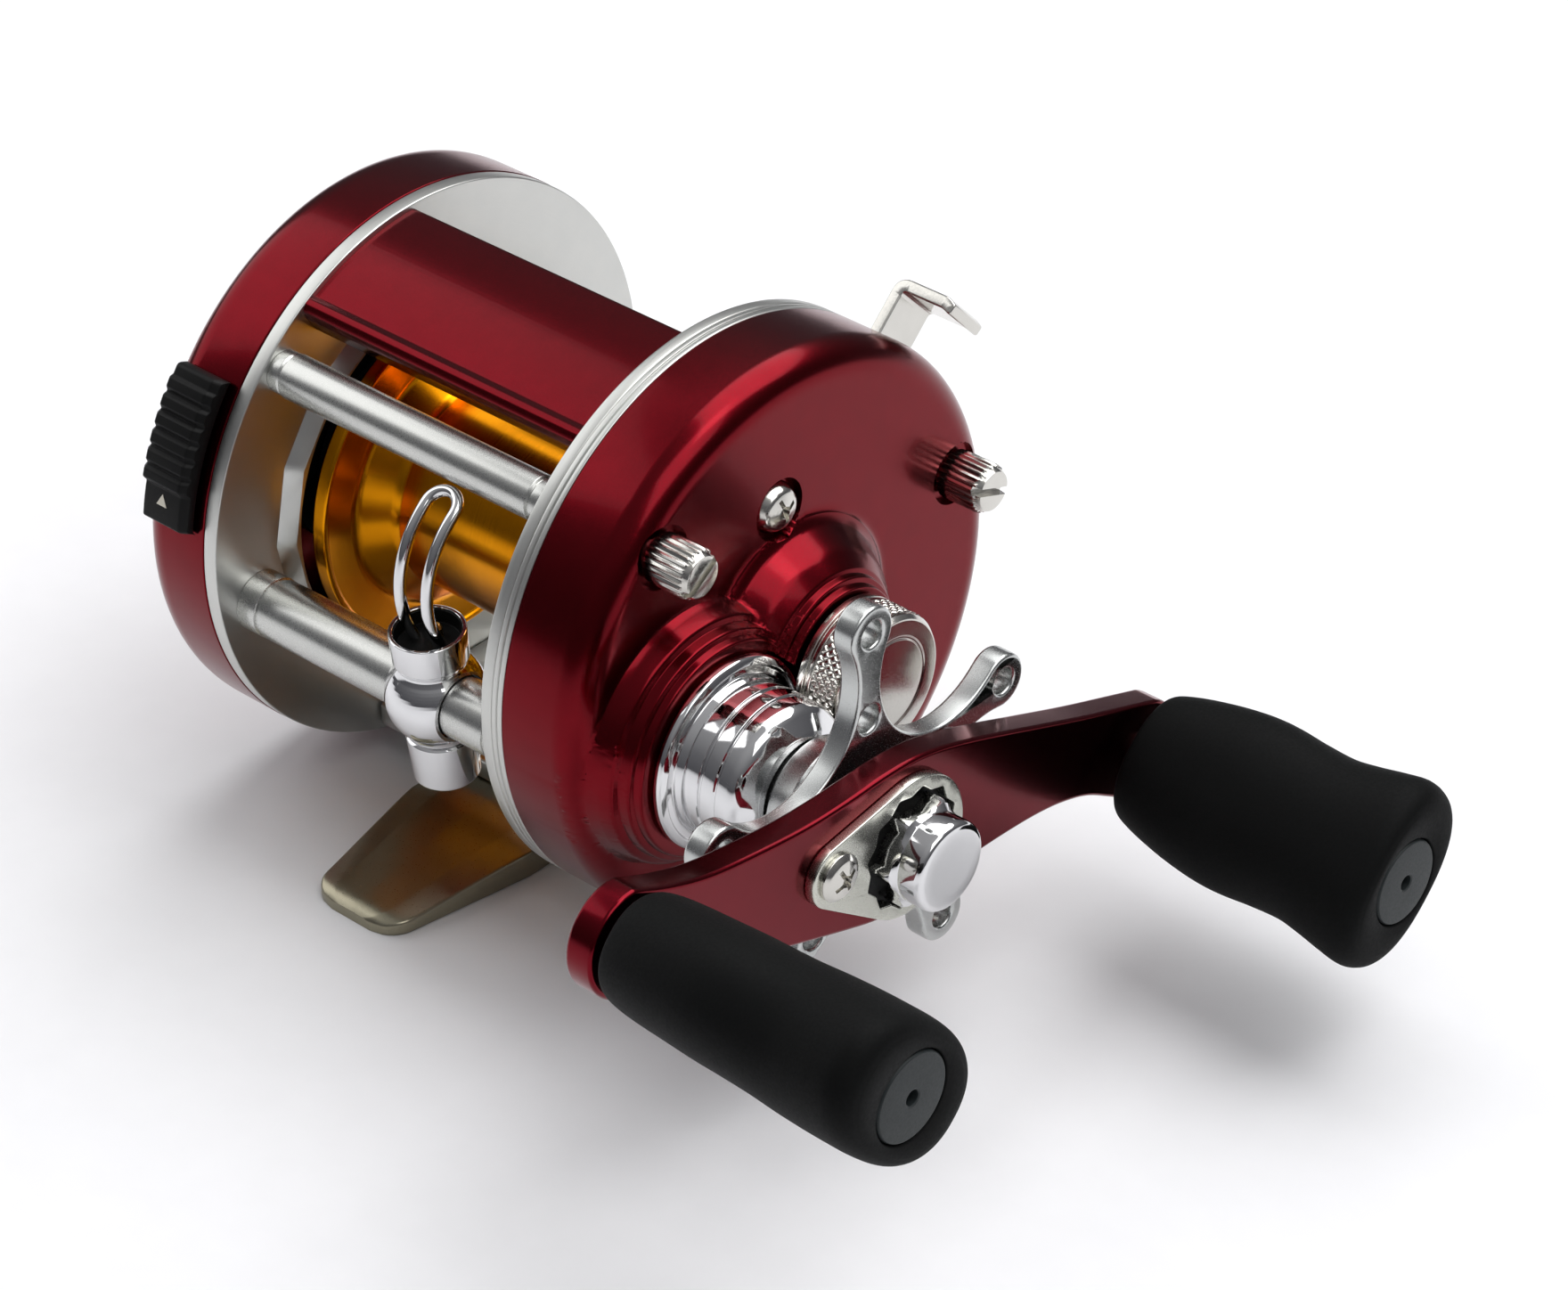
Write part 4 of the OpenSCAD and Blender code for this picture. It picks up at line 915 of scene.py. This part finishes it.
def handle_arm():
    """Bevelled flat arm: each long edge is straight to one tip and hollow towards the other."""
    end_r = 4.9
    front, rear = np.array([ARM_HALF, 0]), np.array([-ARM_HALF, 0])
    upper = [(29.5, -4.1), (25, -3.75), (20, -4.05), (13.7, -4.8), (8.3, -5.95), (4, -7.1), (0, -7.8),
             (-4, -7.85), (-9.4, -7.4), (-17, -6.5), (-23, -5.8), (-29.5, -5.2)]
    lower = [(-29.5, 3.5), (-26, 2.5), (-22.5, 2.2), (-19, 2.4), (-15, 3.05), (-10.8, 3.95), (-7, 4.9),
             (-4, 5.8), (-1.5, 6.6), (2, 6.9), (7, 6.6), (12.6, 6.15), (20, 5.6), (29.5, 5.05)]
    outline = arc(front, end_r, 78, -78, 24)
    outline += spline([front + polar(end_r, -80)] + upper + [rear + polar(end_r, 260)], 5)
    outline += arc(rear, end_r, 258, 102, 24)
    outline += spline([rear + polar(end_r, 100)] + lower + [front + polar(end_r, 80)], 5)
    holes = [circle((0, 0), 2.55)] + [circle((s * ARM_HALF, 0), 1.75) for s in (-1, 1)]
    arm = slab("crank_arm", [outline] + holes, X_ARM, X_PLATE, 0.4, on_x(HANDLE, ARM_DIR), steps=4)
    piece(arm, RED_ARM, "crank", "handle_arm", sharp=50, flat=True)


def retainer():
    """Teardrop plate that locks the nut, with a twelve-pointed hole."""
    turn = ARM_DIR + 0.5
    reach = 9.5
    big, small = 6.5, 2.9
    tilt = math.degrees(math.acos((big - small) / reach))
    outline = arc((0, 0), big, tilt, 360 - tilt, 60) + arc((reach, 0), small, -tilt, tilt, 24)
    point_r, notch_r, points = 5.6, 5.05, 12
    star = [polar(notch_r if k % 2 else point_r, k * 180 / points) for k in range(2 * points)]
    star = rounded([tuple(p) for p in star], 0.25, steps=2, loop=True)
    plate = slab("nut_lock_plate", [outline, star], X_PLATE, X_PLATE + 1, 0.16, on_x(HANDLE, turn))
    piece(plate, PLATED, "crank", "nut_retainer", flat=True)
    seat = slab("nut_lock_seat", [circle((0, 0), 5.8), circle((0, 0), 2.6)], X_PLATE - 0.02, X_PLATE + 0.08,
                0.02, on_x(HANDLE), steps=1)
    piece(seat, BLACK, "crank")
    centre = HANDLE + polar(reach, turn)
    cross_screw("nut_lock_screw", "retainer_screw", 2.15, 0.35, X_PLATE + 1, centre, 25, 2.5, "crank")


def nut():
    """Hexagon nut whose corners are turned down to a round, polished end."""
    x0, x1 = low("handle_nut")[0], high("handle_nut")[0]
    corner, end = 4.8, 4.05

    def hexagon(limit):
        flat = corner * math.cos(math.pi / 6)
        return lambda turn: np.minimum(flat / np.cos((turn % (math.pi / 3)) - math.pi / 6), limit)

    levels = [(x0, 4.3), (x0 + 0.25, corner), (x0 + 2.1, corner), (x0 + 2.4, 4.6), (x0 + 2.75, end + 0.08),
              (x0 + 2.85, end)]
    place = on_x(HANDLE, ARM_DIR + 12)
    steps = 180
    rings = [place([[0, 0, x0]])] + [place(ring(hexagon(limit), w, steps)) for w, limit in levels]
    for w, r in rounded([(x0 + 2.9, end), (x1, end, 0.7), (x1, 0)], 0.3, steps=6)[1:-1]:
        rings.append(place(ring(r, w, steps)))
    rings += [place(ring(2.4, x1 - 0.02, steps)), place([[0, 0, x1 - 0.03]])]
    piece(loft("crank_nut", rings), CHROME, "crank", "handle_nut", sharp=25)


def star_wheel():
    """Five-armed star with rounded rims, a hole in each tip and a smaller ring of holes."""
    arms = 5
    # the tips' distance from the axis, their radius, and the web's least radius between two arms
    star_r, tip_r, web_r = 18.3, 2.5, 8.2
    step = 360 / arms
    slack = tip_r - web_r
    side_c = (star_r ** 2 - slack ** 2) / (2 * (star_r * math.cos(math.radians(step / 2)) + slack))
    side = polar(side_c, step / 2)
    to_side = side - np.array([star_r, 0])
    sweep_a = math.degrees(math.atan2(to_side[1], to_side[0]))
    back = math.degrees(math.atan2(-to_side[1], -to_side[0]))
    inward = step / 2 + 180
    outline = []
    for i in range(arms):
        c, s = math.cos(math.radians(i * step)), math.sin(math.radians(i * step))
        turn = np.array([[c, -s], [s, c]])
        tip = arc((star_r, 0), tip_r, -sweep_a, sweep_a, 20)
        start = back % 360
        hollow = arc(side, side_c - web_r, start, 2 * inward - start, 30)
        outline += [turn @ p for p in tip + hollow[1:-1]]
    bore, inner_ring = 2.6, 10.2
    holes = [circle((0, 0), bore)]
    for i in range(arms):
        holes += [circle(polar(star_r, i * step), 1.2, 32), circle(polar(inner_ring, i * step), 1.25, 32)]
    x1 = high("star_drag")[0]
    wheel = slab("star_wheel", [outline] + holes, x1 - 2.2, x1, 0.32, on_x(HANDLE, 88), steps=3)
    hub = lathe("star_hub", rounded([
        (X_BOSS + 6.2, bore), (X_BOSS + 6.2, 4.4), (x1 - 6.2, 4.4), (x1 - 6.2, 5.4, 0.2),
        (x1 - 3.8, 5.9, 0.8), (x1 - 2.1, 7.4), (x1 - 2.1, bore)], 0.1, loop=True), on_x(HANDLE), 96)
    piece(wheel, STAR, "star", "star_drag", sharp=50, flat=True)
    piece(hub, STAR, "star")


# ---- Knobs ----

# Shape of a knob along its length: distance from the arm's side, wide and narrow half-widths
KNOB_SHAPE = [
    (0.0, 4.9, 4.0), (0.4, 5.8, 4.7), (1.5, 6.3, 5.0), (3.5, 6.85, 5.2), (6.5, 7.45, 5.35), (9.5, 7.8, 5.5),
    (12, 7.8, 5.55), (15, 7.55, 5.65), (18, 7.45, 5.85), (20.5, 7.8, 5.95), (22.8, 8.25, 5.98),
    (24.8, 8.55, 5.95), (26.0, 8.2, 5.75), (26.7, 7.5, 5.3), (27.0, 6.6, 4.7)]


def oval(wide, narrow, along, power=2.3, steps=96):
    """Superellipse of points about the local third axis; a power of 2 gives an ellipse."""
    turn = np.linspace(0, 2 * np.pi, steps, endpoint=False)
    c, s = np.cos(turn), np.sin(turn)
    return np.stack([wide * np.sign(c) * np.abs(c) ** (2 / power),
                     narrow * np.sign(s) * np.abs(s) ** (2 / power), np.full(steps, along)], 1)


def knob(side, tilt):
    """Soft oval knob with a waist, and the plug that closes its outer end."""
    body = side + "_knob"
    x0, x1 = low(body)[0], high(body)[0]
    cap_r = 3.9
    place = on_x(KNOB_AXES[side], tilt)
    rings = [place([[0, 0, x0]])]
    rings += [place(oval(wide, narrow, x0 + w)) for w, wide, narrow in spline(KNOB_SHAPE, 6)]
    rings += [place(oval(r, r, w, 2)) for w, r in ((x1, 4.15), (x1 - 0.12, 4.02), (x1 - 0.9, 4.0))]
    rings.append(place([[0, 0, x1 - 0.9]]))
    piece(loft(side + "_grip", rings), RUBBER, body, side + "_knob", sharp=50)
    plug = lathe(side + "_grip_plug", rounded([
        (x1 - 0.8, 0), (x1 - 0.8, 0.68), (x1 - 0.02, 0.68, 0.05), (x1 + 0.04, 0.85, 0.05),
        (x1 + 0.02, cap_r - 0.15, 0.15), (x1 - 0.2, cap_r - 0.02), (x1 - 0.85, cap_r - 0.02), (x1 - 0.85, 0)],
        0.08), place, 96)
    piece(plug, GREY, body, side + "_knob_cap")


# ---- Making the pieces ----

frame_plates()
facet_ring()
hood()
pillar("front_bar", "front_pillar")
pillar("rear_bar", "rear_pillar")
bridge()
foot()
palm_cover()
gear_cover()
thumb_screws()
cross_screw("cover_screw_head", "cover_screw", 2.35, 0.4, X_FACE - 0.9, COVER_SCREW, 20, 2.6, "frame")
housing()
cast_cap()
level_wind()
carriage()
guide_wires()
spool()
clutch_lever()
brake_slider()
handle_arm()
retainer()
nut()
star_wheel()
knob("front", 135)
knob("rear", 45)

# ---- CAD nodes that keep their own shape ----
slots = {part["node"]: part["material_slot"] for part in frame["record"]["subparts"]}
for name, obj in frame["nodes"].items():
    obj.data.materials.clear()
    obj.data.materials.append(LOOKS[slots[name]][0])

# ---- Stage ----

bpy.ops.mesh.primitive_plane_add(size=4)
floor = bpy.context.object
floor.name = "floor"
paper = bpy.data.materials.new("paper")
paper.use_nodes = True
paper_nodes = paper.node_tree.nodes
speck = paper_nodes.new("ShaderNodeTexNoise")
speck.inputs["Scale"].default_value = 900
shade = paper_nodes.new("ShaderNodeMix")
shade.data_type = "RGBA"
shade.inputs["A"].default_value = linear(236, 236, 238)
shade.inputs["B"].default_value = linear(240, 240, 242)
paper.node_tree.links.new(speck.outputs["Fac"], shade.inputs["Factor"])
paper.node_tree.links.new(shade.outputs["Result"], paper_nodes["Principled BSDF"].inputs["Base Color"])
paper_nodes["Principled BSDF"].inputs["Roughness"].default_value = 0.7
floor.data.materials.append(paper)

world = bpy.data.worlds.new("studio")
bpy.context.scene.world = world
world.use_nodes = True
sky = world.node_tree.nodes
height = sky.new("ShaderNodeSeparateXYZ")
world.node_tree.links.new(sky.new("ShaderNodeTexCoord").outputs["Generated"], height.inputs[0])
ramp = sky.new("ShaderNodeValToRGB")
stops = ramp.color_ramp.elements
stops[0].position, stops[0].color = 0.0, (0.10, 0.10, 0.11, 1)
stops[1].position, stops[1].color = 1.0, (0.50, 0.50, 0.51, 1)
middle_stop = stops.new(0.35)
middle_stop.color = (0.17, 0.17, 0.18, 1)
world.node_tree.links.new(height.outputs["Z"], ramp.inputs["Fac"])
world.node_tree.links.new(ramp.outputs["Color"], sky["Background"].inputs["Color"])
sky["Background"].inputs["Strength"].default_value = 0.85


target = (cad_box[0] + cad_box[1]) / 2


def area_light(name, place, size, watts):
    """Soft rectangular light that points at the reel's middle; its size is in metres."""
    data = bpy.data.lights.new(name, "AREA")
    data.shape = "RECTANGLE"
    data.size, data.size_y = size
    data.energy = watts
    light = bpy.data.objects.new(name, data)
    bpy.context.scene.collection.objects.link(light)
    light.location = np.array(place) * MM
    away = light.location - target
    light.rotation_euler = away.to_track_quat("Z", "Y").to_euler()


area_light("key", (60, 300, 640), (0.8, 0.6), 4.6)
area_light("left", (-560, -120, 420), (0.6, 0.6), 1.6)
area_light("right", (420, -60, 620), (0.5, 0.5), 1.5)

# ---- Camera ----

camera_data = bpy.data.cameras.new("camera")
camera_data.lens = 116.47
camera_data.sensor_width = 36
camera = bpy.data.objects.new("camera", camera_data)
bpy.context.scene.collection.objects.link(camera)
camera.location = np.array([264.8, -268.2, 270.8]) * MM
VIEW_AZIMUTH, VIEW_ELEVATION = 41.67, 34.2
camera.rotation_euler = (math.radians(90 - VIEW_ELEVATION), 0, math.radians(VIEW_AZIMUTH))
bpy.context.scene.camera = camera
bpy.context.scene.view_settings.view_transform = "Standard"
